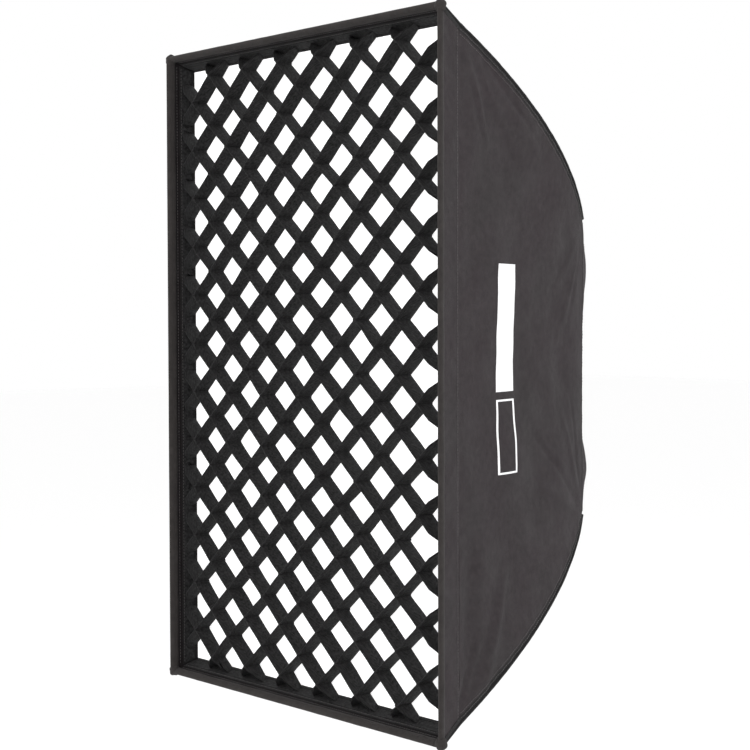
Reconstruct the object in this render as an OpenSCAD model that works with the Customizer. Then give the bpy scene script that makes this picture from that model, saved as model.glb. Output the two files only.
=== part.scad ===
// Strip softbox: fabric shell on four bent rods, with grid, two diffusers and a turning bayonet mount.
// +X is right as seen from the front, -Y is forward, +Z is up.
// The origin is on the light's axis, at the face that seats against the light.
// Depths are measured back from the plane of the front edge.

/* [Front] */
// Width over the front hem
front_w = 600; // [500:10:700]
// Height over the front hem
front_h = 900; // [800:10:1000]
// Depth of the recessed lip
lip_depth = 50; // [45:1:60]
// How far the lip leans in on each side between the hem and its root
lip_lean = 21; // [15:1:24]
// Thickness of the lip's stiffened fabric
lip_t = 3; // [2:0.5:3.5]
// Radius of the bound front hem
hem_r = 4; // [3:0.5:4.5]

/* [Shell] */
// Depth of the shell's crown, where the fabric meets the speed ring
crown_depth = 466; // [455:1:468]
// Thickness of the outer fabric
fabric_t = 1.2; // [0.8:0.1:1.2]
// Thickness of the silver lining
lining_t = 0.7; // [0.4:0.1:0.7]
// Share of the way from ring to lip at which the rear flaps end
flap_share = 0.357; // [0.3:0.001:0.42]
// Radius of the piping in the corner seams
piping_r = 2.2; // [1.5:0.1:2.4]

/* [Rods] */
// Radius of a rod
rod_r = 2.5; // [2:0.1:2.6]
// How far a rod's centre lies inside both of the panels at its corner
rod_inset = 9; // [8.5:0.1:10]

/* [Grid] */
// Width of one diamond cell between opposite corners
cell_w = 82; // [60:1:100]
// Height of one diamond cell between opposite corners
cell_h = 69; // [50:1:90]
// Depth of the grid's strips
grid_depth = 25; // [20:1:25]
// Thickness of the grid's strips
grid_t = 2; // [1:0.5:3]
// Depth at which the grid's front edge lies
grid_at = 9; // [8.5:0.5:9]

/* [Diffusers] */
// Depth of the front diffuser's sheet
diffuser_at = 36; // [36:0.5:38]
// Depth of the inner baffle
baffle_at = 210; // [180:5:240]
// Width of the inner baffle
baffle_w = 372; // [340:2:380]
// Height of the inner baffle
baffle_h = 572; // [540:2:580]

/* [Speed ring] */
// Radius of the bore in the bayonet insert
bore_r = 49; // [47:0.5:49]
// Outer radius of the speed ring
ring_r = 72; // [72:0.5:74]
// Depth of the face that seats against the light
seat_depth = 480; // [480:1:484]

/* [Hidden] */
$fn = 96;
SMALL_FN = 32;
half_w = front_w / 2;
half_h = front_h / 2;
root_w = half_w - lip_lean;
root_h = half_h - lip_lean;
root_r = norm([root_w, root_h]);
corner_a = atan2(root_h, root_w);
// Radius at which the rods leave their sockets and start to bend
bend_r = 105;
SHELL_STEPS = 24;
FLAP_STEPS = 10;
// Gap between a flap and the panel that it is sewn to, measured along a rod
hinge_gap = 2;
// Gaps at the mitred corners
side_mitre = 5;
top_mitre = 3;
// Half the reach of a cut that passes right through a layer
CUT = 20;
PIPE_SIDES = 8;
ROD_SIDES = 10;

// Speed ring stack, as depths
body_front = 454;
recess_floor = 468;
body_rear = 474;
plate_rear = 478;
nose_front = 456;
spigot_rear = 490;
rim_front = 470;
rim_rear = 473.7;
nose_r = 56;
rim_r = 64;
hub_r = 59.7;
spigot_r = 54;
running_gap = 0.06;
screw_circle_r = 68.2;
lock_depth = 461;
socket_len = 32;

function unit(v) = v / norm(v);

// ---- the shell's curve: a rod clamped at the ring and loaded at its tip -------------------------
function seam_r(s) = bend_r + (root_r - bend_r) * s;
function seam_depth(s) = crown_depth - (crown_depth - lip_depth) * s * max(s, 0);
function seam_x(s) = seam_r(s) * cos(corner_a);
function seam_z(s) = seam_r(s) * sin(corner_a);
function share_at(depth) = sqrt((crown_depth - depth) / (crown_depth - lip_depth));

function shares(a, b, n) = [for (i = [0:n]) a + (b - a) * i / n];

// A side's path runs outwards; each point is [distance from the axis, depth, half length].
function side_path(a, b, n) = [for (s = shares(a, b, n)) [seam_x(s), seam_depth(s), seam_z(s)]];
function top_path(a, b, n) = [for (s = shares(a, b, n)) [seam_z(s), seam_depth(s), seam_x(s)]];
function lip_path(across, along, deep, shallow) =
    [for (d = [deep, shallow]) [across - lip_lean * d / lip_depth, d, along - lip_lean * d / lip_depth]];

function path_tangent(path, i) =
    let(p = path[max(i - 1, 0)], q = path[min(i + 1, len(path) - 1)])
    unit([q[0] - p[0], q[1] - p[1]]);
function path_normal(path, i) = let(t = path_tangent(path, i)) [-t[1], t[0]];

// The shell's normals either side of a corner seam, and the line at one distance inside both panels
function side_normal(s) = unit([2 * (crown_depth - lip_depth) * s, (root_r - bend_r) * cos(corner_a), 0]);
function top_normal(s) = unit([0, (root_r - bend_r) * sin(corner_a), 2 * (crown_depth - lip_depth) * s]);
function seam_point(s, inside) =
    let(a = side_normal(s), b = top_normal(s))
    [seam_x(s), seam_depth(s), seam_z(s)] - inside * (a + b) / (1 + a * b);
function seam_line(a, b, n, inside) = [for (s = shares(a, b, n)) seam_point(s, inside)];
function radial(r, depth) = [r * cos(corner_a), depth, r * sin(corner_a)];

// ---- solids from rings of points ----------------------------------------------------------------
function band_faces(n, k, base, flip) =
    [for (i = [0:n - 2]) for (j = [0:k - 1])
        let(a = base + i * k + j, b = base + i * k + (j + 1) % k, c = b + k, d = a + k)
        for (f = flip ? [[a, c, b], [a, d, c]] : [[a, b, c], [a, c, d]]) f];

// Closed solid through a list of rings, each with the same number of points
module loft(rings) {
    n = len(rings);
    k = len(rings[0]);
    points = [for (r = rings) for (p = r) p];
    first = [for (j = [0:k - 1]) k - 1 - j];
    last = [for (j = [0:k - 1]) (n - 1) * k + j];
    polyhedron(points, concat([first], band_faces(n, k, 0, false), [last]));
}

// Faces that close an open end, between the rings that start at two points of the list
function end_faces(k, a, b) =
    [for (j = [0:k - 1]) let(i = (j + 1) % k) for (f = [[a + j, b + i, a + i], [a + j, b + j, b + i]]) f];

// Open tube through two matching lists of rings
module tube_loft(outer, inner) {
    n = len(outer);
    k = len(outer[0]);
    m = n * k;
    points = concat([for (r = outer) for (p = r) p], [for (r = inner) for (p = r) p]);
    walls = concat(band_faces(n, k, 0, false), band_faces(n, k, m, true));
    polyhedron(points, concat(walls, end_faces(k, 0, m), end_faces(k, 2 * m - k, m - k)));
}

function line_tangent(line, i) = unit(line[min(i + 1, len(line) - 1)] - line[max(i - 1, 0)]);
function square_to(t) = let(flat = [sin(corner_a), 0, -cos(corner_a)]) unit(flat - (flat * t) * t);
function round_ring(p, t, r, k) =
    let(u = square_to(t), v = cross(t, u))
    [for (j = [0:k - 1]) p + r * (cos(360 * j / k) * u + sin(360 * j / k) * v)];
function round_rings(line, r, k) =
    [for (i = [0:len(line) - 1]) round_ring(line[i], line_tangent(line, i), r, k)];

// A layer of fabric that follows a side's path, between two depths under its outer surface
function layer_ring(p, n, outer, inner, l) =
    let(a = [p[0], p[1]] - outer * n, b = [p[0], p[1]] - inner * n)
    [[a[0], a[1], l], [b[0], b[1], l], [b[0], b[1], -l], [a[0], a[1], -l]];
module side_layer(path, outer, inner, mitre) {
    loft([for (i = [0:len(path) - 1])
        layer_ring(path[i], path_normal(path, i), outer, inner, path[i][2] - mitre)]);
}

// ---- placing ------------------------------------------------------------------------------------
module placed() { translate([0, -seat_depth, 0]) children(); }
module on_top() { rotate([0, -90, 0]) children(); }
module on_bottom() { rotate([0, 90, 0]) children(); }
module on_left() { rotate([0, 180, 0]) children(); }
module in_corners() {
    children();
    mirror([1, 0, 0]) children();
    mirror([0, 0, 1]) children();
    mirror([1, 0, 0]) mirror([0, 0, 1]) children();
}
module in_corner_plane() { rotate([0, -corner_a, 0]) children(); }
// A cylinder along the light's axis, between two depths
module axial(r, from, to, fn = SMALL_FN) {
    translate([0, min(from, to), 0]) rotate([-90, 0, 0]) cylinder(h = abs(to - from), r = r, $fn = fn);
}
// A cylinder that points away from the axis, towards a corner
module spoke(r, depth, from, to) {
    in_corner_plane() translate([from, depth, 0]) rotate([0, 90, 0])
        cylinder(h = to - from, r = r, $fn = SMALL_FN);
}
// A flat strap that points away from the axis, towards a corner
module strap_bar(from, to, w, front, rear) {
    in_corner_plane() translate([from, front, -w / 2]) cube([to - from, rear - front, w]);
}
// Solid of revolution about the light's axis, from points that are [radius, depth]
module turned(profile, angle = 360) {
    rotate([-90, 0, 0]) mirror([0, 1, 0]) rotate_extrude(angle = angle) polygon(profile);
}
module frame_bar(w, h, bar, from, to) {
    translate([0, to, 0]) rotate([90, 0, 0]) linear_extrude(to - from) difference() {
        square([w, h], center = true);
        square([w - 2 * bar, h - 2 * bar], center = true);
    }
}

// ---- outer fabric, lining and seams ---------------------------------------------------------------
panel_side = side_path(flap_share, 1, SHELL_STEPS);
panel_top = top_path(flap_share, 1, SHELL_STEPS);
FABRIC = [0.24, 0.22, 0.23];
LINING = [0.78, 0.78, 0.8];
BLACK = [0.09, 0.08, 0.08];
WHITE = [0.95, 0.95, 0.94];
ALUMINIUM = [0.7, 0.71, 0.73];
STEEL = [0.5, 0.51, 0.53];

module panel_right() { color(FABRIC) placed() side_layer(panel_side, 0, fabric_t, side_mitre); }
module panel_left() { color(FABRIC) placed() on_left() side_layer(panel_side, 0, fabric_t, side_mitre); }
module panel_top() { color(FABRIC) placed() on_top() side_layer(panel_top, 0, fabric_t, top_mitre); }
module panel_bottom() { color(FABRIC) placed() on_bottom() side_layer(panel_top, 0, fabric_t, top_mitre); }

lining_out = fabric_t + 0.1;
module lining_side() { side_layer(panel_side, lining_out, lining_out + lining_t, side_mitre); }
module lining_end() { side_layer(panel_top, lining_out, lining_out + lining_t, top_mitre); }
module lining_right() { color(LINING) placed() lining_side(); }
module lining_left() { color(LINING) placed() on_left() lining_side(); }
module lining_top() { color(LINING) placed() on_top() lining_end(); }
module lining_bottom() { color(LINING) placed() on_bottom() lining_end(); }

PIPING_END = 0.995;
PIPING_LIFT = 0.4;
module seam_piping() {
    line = seam_line(flap_share, PIPING_END, SHELL_STEPS, -PIPING_LIFT);
    color(BLACK) placed() in_corners() loft(round_rings(line, piping_r, PIPE_SIDES));
}

// ---- rods ------------------------------------------------------------------------------------------
ROD_END = 0.972;
rod_start = radial(bend_r - socket_len + 2, crown_depth - rod_inset);
rod_line = concat([rod_start], seam_line(0, ROD_END, SHELL_STEPS, rod_inset));
rod_tip = rod_line[len(rod_line) - 1];
rod_tip_way = unit(rod_tip - rod_line[len(rod_line) - 2]);
module rod() { loft(round_rings(rod_line, rod_r, ROD_SIDES)); }
module rod_top_right() { color(STEEL) placed() rod(); }
module rod_top_left() { color(STEEL) placed() mirror([1, 0, 0]) rod(); }
module rod_bottom_right() { color(STEEL) placed() mirror([0, 0, 1]) rod(); }
module rod_bottom_left() { color(STEEL) placed() mirror([1, 0, 0]) mirror([0, 0, 1]) rod(); }

// Cylinder along the last stretch of a rod, measured from its end
module along_tip(r, from, to) {
    a = acos(rod_tip_way[2]);
    b = atan2(rod_tip_way[1], rod_tip_way[0]);
    translate(rod_tip + from * rod_tip_way) rotate([0, a, b])
        cylinder(h = to - from, r = r, $fn = SMALL_FN);
}
TIP_CAP_LEN = 8;
TIP_CAP_R = 3.2;
POCKET_R = 6.2;
POCKET_END = 3;
POCKET_BACK = 16;
SLEEVE_R = 4.3;
SLEEVE_BORE_R = 3.1;
SLEEVE_FROM = 0.377;
SLEEVE_TO = 0.925;
module rod_tips() { color(BLACK) placed() in_corners() along_tip(TIP_CAP_R, 0.05, TIP_CAP_LEN); }
module tip_pockets() {
    color(BLACK) placed() in_corners() difference() {
        along_tip(POCKET_R, -POCKET_BACK, TIP_CAP_LEN + POCKET_END);
        along_tip(TIP_CAP_R + 0.3, -POCKET_BACK - 1, TIP_CAP_LEN + 0.3);
    }
}
module rod_sleeves() {
    line = seam_line(SLEEVE_FROM, SLEEVE_TO, SHELL_STEPS, rod_inset);
    outer = round_rings(line, SLEEVE_R, PIPE_SIDES);
    color(BLACK) placed() in_corners() tube_loft(outer, round_rings(line, SLEEVE_BORE_R, PIPE_SIDES));
}

// ---- lip --------------------------------------------------------------------------------------------
lip_front = 2 * hem_r + 0.9;
lip_root = lip_depth - 1.2;
lip_side = lip_path(half_w, half_h, lip_root, lip_front);
lip_end = lip_path(half_h, half_w, lip_root, lip_front);
LIP_MITRE = 3.4;
module lip_right() { color(FABRIC) placed() side_layer(lip_side, 0, lip_t, 0.2); }
module lip_left() { color(FABRIC) placed() on_left() side_layer(lip_side, 0, lip_t, 0.2); }
module lip_top() { color(FABRIC) placed() on_top() side_layer(lip_end, 0, lip_t, LIP_MITRE); }
module lip_bottom() { color(FABRIC) placed() on_bottom() side_layer(lip_end, 0, lip_t, LIP_MITRE); }

// An ear swells a little over the hem at each front corner
EAR_SWELL = 1.2;
ear_r = hem_r + EAR_SWELL - 0.4;
ear_in = ear_r - EAR_SWELL;
module hem_bar(across, along) {
    half = along - ear_r - 0.2;
    translate([across - hem_r, hem_r, -half]) cylinder(h = 2 * half, r = hem_r, $fn = SMALL_FN);
}
module front_hem() {
    color(BLACK) placed() {
        hem_bar(half_w, half_h - hem_r);
        on_left() hem_bar(half_w, half_h - hem_r);
        on_top() hem_bar(half_h, half_w - hem_r);
        on_bottom() hem_bar(half_h, half_w - hem_r);
    }
}
module hem_ears() {
    color(BLACK) placed() in_corners() translate([half_w - ear_in, ear_in, half_h - ear_in])
        sphere(r = ear_r, $fn = SMALL_FN);
}

// A strip on the inside of the lip, all the way round, between two depths and under two offsets
module lip_strips(deep, shallow, outer, inner) {
    side = lip_path(half_w, half_h, deep, shallow);
    end = lip_path(half_h, half_w, deep, shallow);
    corner_gap = 1.2 * inner;
    side_layer(side, outer, inner, corner_gap);
    on_left() side_layer(side, outer, inner, corner_gap);
    on_top() side_layer(end, outer, inner, corner_gap + 2);
    on_bottom() side_layer(end, outer, inner, corner_gap + 2);
}
BAND_T = 1.05;
BAND_FRONT = 18;
band_out = lip_t + 0.05;
band_in = band_out + BAND_T;
module loop_bands() { color(BLACK) placed() lip_strips(lip_root, BAND_FRONT, band_out, band_in); }

// ---- front diffuser ---------------------------------------------------------------------------------
SHEET_T = 1;
// Gap between a loop band and the border that presses on it
BAND_GAP = 0.2;
border_in = band_in + 1.5;
module diffuser_border() {
    color(BLACK) placed() lip_strips(lip_root - 1, diffuser_at - 1, band_in + BAND_GAP, border_in);
}
// Distance from the outer edge to a flat piece that reaches back to a depth, inside a flared border
function flat_gap(border, depth) = 1.1 * border + lip_lean * depth / lip_depth + 0.1;
sheet_gap = flat_gap(border_in, diffuser_at + SHEET_T);
module diffuser_sheet() {
    color(WHITE) placed() translate([0, diffuser_at + SHEET_T / 2, 0])
        cube([front_w - 2 * sheet_gap, SHEET_T, front_h - 2 * sheet_gap], center = true);
}

// ---- grid: crossed strips in a flared border ---------------------------------------------------------
grid_rear = grid_at + grid_depth;
grid_border_in = band_in + 1.4;
// Height of the grid's border, and how far the strips' front edges fall short of it
GRID_EDGE = 11;
GRID_SHORT = 16;
module grid_border() {
    color(BLACK) placed() lip_strips(grid_rear, grid_rear - GRID_EDGE, band_in + BAND_GAP, grid_border_in);
}
lattice_gap = flat_gap(grid_border_in, grid_rear);
lattice_w = front_w - 2 * lattice_gap;
lattice_h = front_h - 2 * lattice_gap;
module diamond(a, b) { polygon([[a, 0], [0, b], [-a, 0], [0, -b]]); }
// Cuts the strips' ends back to the border's height, on the right side
module grid_taper(half, long) {
    linear_extrude(long, center = true) polygon([
        [half + 1, grid_rear - GRID_EDGE], [half - GRID_SHORT, grid_at], [half - GRID_SHORT, grid_at - 1],
        [half + 1, grid_at - 1]
    ]);
}
module grid_lattice() {
    // A cell's opening, smaller than the cell by half a strip on every side
    shrink = 1 - grid_t / (cell_w * cell_h / norm([cell_w, cell_h]));
    a = cell_w / 2 * shrink;
    b = cell_h / 2 * shrink;
    nx = ceil(lattice_w / cell_w) + 1;
    nz = ceil(lattice_h / cell_h) + 1;
    color(BLACK) placed() difference() {
        translate([0, grid_rear, 0]) rotate([90, 0, 0]) linear_extrude(grid_depth) difference() {
            square([lattice_w, lattice_h], center = true);
            intersection() {
                square([lattice_w - 2 * grid_t, lattice_h - 2 * grid_t], center = true);
                for (i = [-nx:nx]) for (j = [-nz:nz]) if ((i + j) % 2 == 0)
                    translate([i * cell_w / 2, j * cell_h / 2]) diamond(a, b);
            }
        }
        grid_taper(lattice_w / 2, lattice_h + 2);
        on_left() grid_taper(lattice_w / 2, lattice_h + 2);
        on_top() grid_taper(lattice_h / 2, lattice_w + 2);
        on_bottom() grid_taper(lattice_h / 2, lattice_w + 2);
    }
}

// ---- inner baffle -------------------------------------------------------------------------------------
BAFFLE_HEM = 14;
BAFFLE_HEM_GAP = 0.1;
HEM_FRONT = 0.8;
HEM_REAR = 1.8;
STRAP_T = 1.2;
STRAP_W = 12;
STRAP_LEN = 44;
SNAP_R = 5.5;
SNAP_STUD_R = 4;
SNAP_IN = 8;
TAB_BACK = 4.2;
strap_from = norm([baffle_w, baffle_h]) / 2 + 0.5;
strap_to = strap_from + STRAP_LEN;
snap_at = strap_to - SNAP_IN;
tab_front = baffle_at + TAB_BACK;
tab_to = seam_r(share_at(tab_front)) - 2.2 * rod_inset;
module baffle_sheet() {
    edge = 2 * (BAFFLE_HEM + BAFFLE_HEM_GAP);
    color(WHITE) placed() translate([0, baffle_at + SHEET_T / 2, 0])
        cube([baffle_w - edge, SHEET_T, baffle_h - edge], center = true);
}
module baffle_hem() {
    color(WHITE) placed()
        frame_bar(baffle_w, baffle_h, BAFFLE_HEM, baffle_at - HEM_FRONT, baffle_at + HEM_REAR);
}
module baffle_straps() {
    color(BLACK) placed() in_corners()
        strap_bar(strap_from, strap_to, STRAP_W, baffle_at, baffle_at + STRAP_T);
}
module snap_spot(r, from, to) { in_corner_plane() translate([snap_at, 0, 0]) axial(r, from, to); }
module snap_caps() {
    color(STEEL) placed() in_corners() snap_spot(SNAP_R, baffle_at - 2, baffle_at - 0.05);
}
module strap_tabs() {
    color(BLACK) placed() in_corners()
        strap_bar(snap_at - SNAP_IN, tab_to, STRAP_W + 2, tab_front, tab_front + STRAP_T);
}
module snap_studs() {
    color(STEEL) placed() in_corners() snap_spot(SNAP_STUD_R, baffle_at + STRAP_T + 0.4, tab_front - 0.05);
}

// ---- rear closure flaps -------------------------------------------------------------------------------
FLAP_T = 1.6;
// Radius of the round hole that the four flaps leave for the speed ring
FLAP_BORE_R = 79;
// Where the flaps' flat part starts, well inside that hole
FLAP_START_R = 48;
flap_start = radial(FLAP_START_R, crown_depth);
rod_run = norm([root_r - bend_r, 2 * (crown_depth - lip_depth) * flap_share]);
flap_end = flap_share - hinge_gap / rod_run;
fold_share = (flap_share + flap_end) / 2;
flap_side = concat([flap_start], side_path(0, flap_end, FLAP_STEPS));
flap_top = concat([[flap_start[2], flap_start[1], flap_start[0]]], top_path(0, flap_end, FLAP_STEPS));
module flap(path, mitre) {
    difference() {
        side_layer(path, 0, FLAP_T, mitre);
        axial(FLAP_BORE_R, crown_depth - CUT, crown_depth + CUT, $fn);
    }
}
// Notch in the lower flap, which leaves room for the lock knob
NOTCH_W = 28;
NOTCH_GAP = 10;
module knob_notch() {
    translate([-NOTCH_W / 2, crown_depth - CUT, -KNOB_OUT - NOTCH_GAP])
        cube([NOTCH_W, 2 * CUT, KNOB_OUT + NOTCH_GAP - FLAP_START_R]);
}
module flap_right() { color(FABRIC) placed() flap(flap_side, side_mitre); }
module flap_left() { color(FABRIC) placed() on_left() flap(flap_side, side_mitre); }
module flap_upper() { color(FABRIC) placed() on_top() flap(flap_top, top_mitre); }
module flap_lower() {
    color(FABRIC) placed() difference() {
        on_bottom() flap(flap_top, top_mitre);
        knob_notch();
    }
}
// Thin round welt in the seam on which each flap folds
WELT_R = 0.6;
module fold_welt(p, mitre) {
    half = p[2] - mitre;
    translate([p[0], p[1], -half]) cylinder(h = 2 * half, r = WELT_R, $fn = SMALL_FN);
}
module fold_welts() {
    side = side_path(fold_share, fold_share, 1)[0];
    end = top_path(fold_share, fold_share, 1)[0];
    color(BLACK) placed() {
        fold_welt(side, side_mitre);
        on_left() fold_welt(side, side_mitre);
        on_top() fold_welt(end, top_mitre);
        on_bottom() fold_welt(end, top_mitre);
    }
}

// ---- speed ring -----------------------------------------------------------------------------------------
RING_SCREWS = 6;
SCREW_R = 1.5;
SCREW_HOLE_R = 1.6;
HEAD_R = 2.8;
HEAD_H = 1.8;
HEX_R = 1.3;
HEX_DEEP = 0.8;
SCREW_LEN = 8;
module around(n, start = 0) { for (i = [0:n - 1]) rotate([0, start + 360 * i / n, 0]) children(); }
module ring_screw_spots() { around(RING_SCREWS) translate([screw_circle_r, 0, 0]) children(); }
// Cap screw whose head stands on a seat; way is 1 where the head points back and -1 where it points forward
module cap_screw(seat, tip, way) {
    difference() {
        union() {
            axial(SCREW_R, tip, seat + way * HEAD_H / 2);
            axial(HEAD_R, seat, seat + way * HEAD_H);
        }
        axial(HEX_R, seat + way * (HEAD_H - HEX_DEEP), seat + way * (HEAD_H + 1), 6);
    }
}
// A cylinder that points straight down from the light's axis
module down_cylinder(r, depth, from, to) {
    translate([0, depth, -to]) cylinder(h = to - from, r = r, $fn = SMALL_FN);
}

BOSS_R = 6.9;
BOSS_OUT = 82;
LOCK_R = 2.5;
RIM_GAP = 0.4;
module speedring_body() {
    bore = nose_r + running_gap;
    recess = rim_r + RIM_GAP;
    color(ALUMINIUM) placed() difference() {
        union() {
            turned([[bore, body_front], [ring_r, body_front], [ring_r, body_rear], [recess, body_rear],
                [recess, recess_floor], [bore, recess_floor]]);
            down_cylinder(BOSS_R, lock_depth, nose_r + 6, BOSS_OUT);
        }
        down_cylinder(LOCK_R + 0.06, lock_depth, nose_r - 6, BOSS_OUT + 5);
        ring_screw_spots() axial(SCREW_HOLE_R, body_rear - SCREW_LEN - 1, body_rear + 1);
        in_corners() socket_screw_spots() axial(SCREW_HOLE_R, body_front - 1, body_front + SCREW_LEN + 1);
    }
}
module slip_ring() {
    near = nose_r + 0.8;
    far = rim_r + 0.2;
    top = rim_front - 0.2;
    color(WHITE) placed() turned([[near, recess_floor], [far, recess_floor], [far, top], [near, top]]);
}
module retaining_ring() {
    near = hub_r + 0.3;
    color(ALUMINIUM) placed() difference() {
        turned([[near, body_rear], [ring_r, body_rear], [ring_r, plate_rear], [near, plate_rear]]);
        ring_screw_spots() axial(SCREW_HOLE_R, body_rear - 1, plate_rear + 1);
        ring_screw_spots() axial(HEAD_R + 0.1, plate_rear - HEAD_H, plate_rear + 1);
    }
}
module retainer_screws() {
    color(STEEL) placed() ring_screw_spots() cap_screw(plate_rear - HEAD_H, body_rear - SCREW_LEN, 1);
}

SOCKET_TUBE_R = 5.8;
FOOT_IN = 58.5;
FOOT_OUT = 86;
FOOT_W = 19;
FOOT_T = 5;
FOOT_SCREW_R = 65;
FOOT_SCREW_SIDE = 5.5;
socket_depth = crown_depth - rod_inset;
foot_front = body_front - FOOT_T;
module socket_screw_spots() {
    in_corner_plane() for (z = [-FOOT_SCREW_SIDE, FOOT_SCREW_SIDE])
        translate([FOOT_SCREW_R, 0, z]) children();
}
module rod_sockets() {
    color(STEEL) placed() in_corners() difference() {
        union() {
            spoke(SOCKET_TUBE_R, socket_depth, ring_r + 0.6, bend_r - 1);
            strap_bar(FOOT_IN, FOOT_OUT, FOOT_W, foot_front, body_front - 0.05);
        }
        spoke(rod_r + 0.15, socket_depth, bend_r - socket_len, bend_r + 5);
        socket_screw_spots() axial(SCREW_HOLE_R, foot_front - 1, body_front + 1);
    }
}
module socket_screws() {
    color(STEEL) placed() in_corners() socket_screw_spots()
        cap_screw(foot_front - 0.05, body_front + SCREW_LEN, -1);
}
LUG_ARC = 38;
LUG_OUT = 4;
LUG_T = 4;
module bayonet_insert() {
    lug_in = spigot_r - 1;
    lug_out = spigot_r + LUG_OUT;
    lug_front = spigot_rear - LUG_T;
    lug = [[lug_in, lug_front], [lug_out, lug_front], [lug_out, spigot_rear], [lug_in, spigot_rear]];
    color(ALUMINIUM) placed() {
        turned([[bore_r, nose_front], [nose_r, nose_front], [nose_r, rim_front], [rim_r, rim_front],
            [rim_r, rim_rear], [hub_r, rim_rear], [hub_r, seat_depth], [spigot_r, seat_depth],
            [spigot_r, spigot_rear], [bore_r, spigot_rear]]);
        around(3, 90 - LUG_ARC / 2) turned(lug, LUG_ARC);
    }
}

// ---- lock screw ------------------------------------------------------------------------------------------
PAD_LEN = 6;
PAD_TRAVEL = 1.6;
KNOB_IN = 88;
KNOB_OUT = 102;
KNOB_R = 9;
KNOB_NECK = 3;
KNOB_NECK_R = 5;
FLUTES = 8;
FLUTE_R = 2;
pad_in = nose_r + 0.1;
pad_out = pad_in + PAD_LEN;
module brake_pad() { color(WHITE) placed() down_cylinder(LOCK_R - 0.1, lock_depth, pad_in, pad_out); }
module lock_stud() { color(STEEL) placed() down_cylinder(LOCK_R, lock_depth, pad_out + PAD_TRAVEL, KNOB_IN); }
module lock_knob() {
    color(BLACK) placed() difference() {
        union() {
            down_cylinder(KNOB_R, lock_depth, KNOB_IN + KNOB_NECK, KNOB_OUT);
            down_cylinder(KNOB_NECK_R, lock_depth, KNOB_IN, KNOB_IN + KNOB_NECK + 1);
        }
        for (i = [0:FLUTES - 1]) translate([0, lock_depth, 0]) rotate([0, 0, 360 * i / FLUTES])
            translate([KNOB_R + FLUTE_R / 2, 0, 0]) down_cylinder(FLUTE_R, 0, KNOB_IN, KNOB_OUT + 1);
    }
}

bayonet_insert();
speedring_body();
slip_ring();
retaining_ring();
retainer_screws();
rod_sockets();
socket_screws();
rod_top_right();
rod_top_left();
rod_bottom_right();
rod_bottom_left();
rod_tips();
tip_pockets();
rod_sleeves();
panel_right();
panel_left();
panel_top();
panel_bottom();
lining_right();
lining_left();
lining_top();
lining_bottom();
seam_piping();
lip_right();
lip_left();
lip_top();
lip_bottom();
front_hem();
hem_ears();
loop_bands();
strap_tabs();
snap_studs();
fold_welts();
flap_right();
flap_left();
flap_upper();
flap_lower();
brake_pad();
lock_stud();
lock_knob();
baffle_sheet();
baffle_hem();
baffle_straps();
snap_caps();
diffuser_sheet();
diffuser_border();
grid_lattice();
grid_border();
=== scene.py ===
"""Strip softbox: fabric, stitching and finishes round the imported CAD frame. All lengths are in metres."""
import math

import bpy
import numpy as np
from mathutils import Matrix, Vector


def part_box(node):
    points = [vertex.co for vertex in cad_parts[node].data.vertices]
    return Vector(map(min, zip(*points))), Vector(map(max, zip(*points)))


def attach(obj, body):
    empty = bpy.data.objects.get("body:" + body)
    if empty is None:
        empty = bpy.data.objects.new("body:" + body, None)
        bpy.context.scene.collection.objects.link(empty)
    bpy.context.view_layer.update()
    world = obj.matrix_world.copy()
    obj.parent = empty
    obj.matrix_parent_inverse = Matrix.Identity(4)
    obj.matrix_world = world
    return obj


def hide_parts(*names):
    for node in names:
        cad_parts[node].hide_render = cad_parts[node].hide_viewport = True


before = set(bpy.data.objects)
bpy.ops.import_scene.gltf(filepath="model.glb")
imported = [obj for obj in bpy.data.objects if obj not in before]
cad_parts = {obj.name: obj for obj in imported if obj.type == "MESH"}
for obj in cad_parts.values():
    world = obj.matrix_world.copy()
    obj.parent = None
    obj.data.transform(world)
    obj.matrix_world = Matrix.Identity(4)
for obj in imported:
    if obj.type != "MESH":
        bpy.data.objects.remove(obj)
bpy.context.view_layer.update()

# ---- measures: boxes of the CAD's nodes, and lengths that repeat the CAD's own values ----
MM = 0.001
FRONT_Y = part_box("front_hem")[0][1]
HALF_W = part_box("front_hem")[1][0]
HALF_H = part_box("front_hem")[1][2]
ROOT_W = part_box("panel_right")[1][0]
ROOT_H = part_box("panel_top")[1][2]
CROWN_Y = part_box("flap_right")[1][1]
LIP_DEPTH = 50 * MM
LEAN = (HALF_W - ROOT_W) / LIP_DEPTH
SLOPE = math.hypot(1, LEAN)
ROOT_Y = FRONT_Y + LIP_DEPTH
BEND_R = 105 * MM
ROOT_R = math.hypot(ROOT_W, ROOT_H)
CORNER = math.atan2(ROOT_H, ROOT_W)
DROP = CROWN_Y - ROOT_Y
SPREAD = ROOT_R - BEND_R
FOLD_S = 0.357
FLAP_S = 0.353
FLAP_BORE = 79 * MM
ROD_INSET = 9 * MM
CLOTH = 1.1 * MM

SIDES = ("right", "top", "left", "bottom")
ALONG_X = {"right": True, "left": True, "top": False, "bottom": False}


# ---- small maths ----
def smooth(x):
    """0 below 0, 1 above 1, and an even rise between."""
    x = np.clip(x, 0, 1)
    return x * x * (3 - 2 * x)


def unit(v):
    return v / np.maximum(np.linalg.norm(v, axis=-1, keepdims=True), 1e-12)


def ripples(p, wave, seed, n=9):
    """Smooth irregular waves of about that length, from about -1 to 1, at each point."""
    r = np.random.default_rng(seed)
    total = np.zeros(p.shape[:-1])
    for _ in range(n):
        d = unit(r.normal(size=3)) * 2 * math.pi / (wave * r.uniform(0.7, 1.5))
        total += np.sin(p @ d + r.uniform(0, 2 * math.pi))
    return total / (1.3 * math.sqrt(n))


def joined(*parts):
    """Numbers or arrays, made one shape and put side by side as the coordinates of points."""
    return np.stack(np.broadcast_arrays(*parts), axis=-1)


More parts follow.
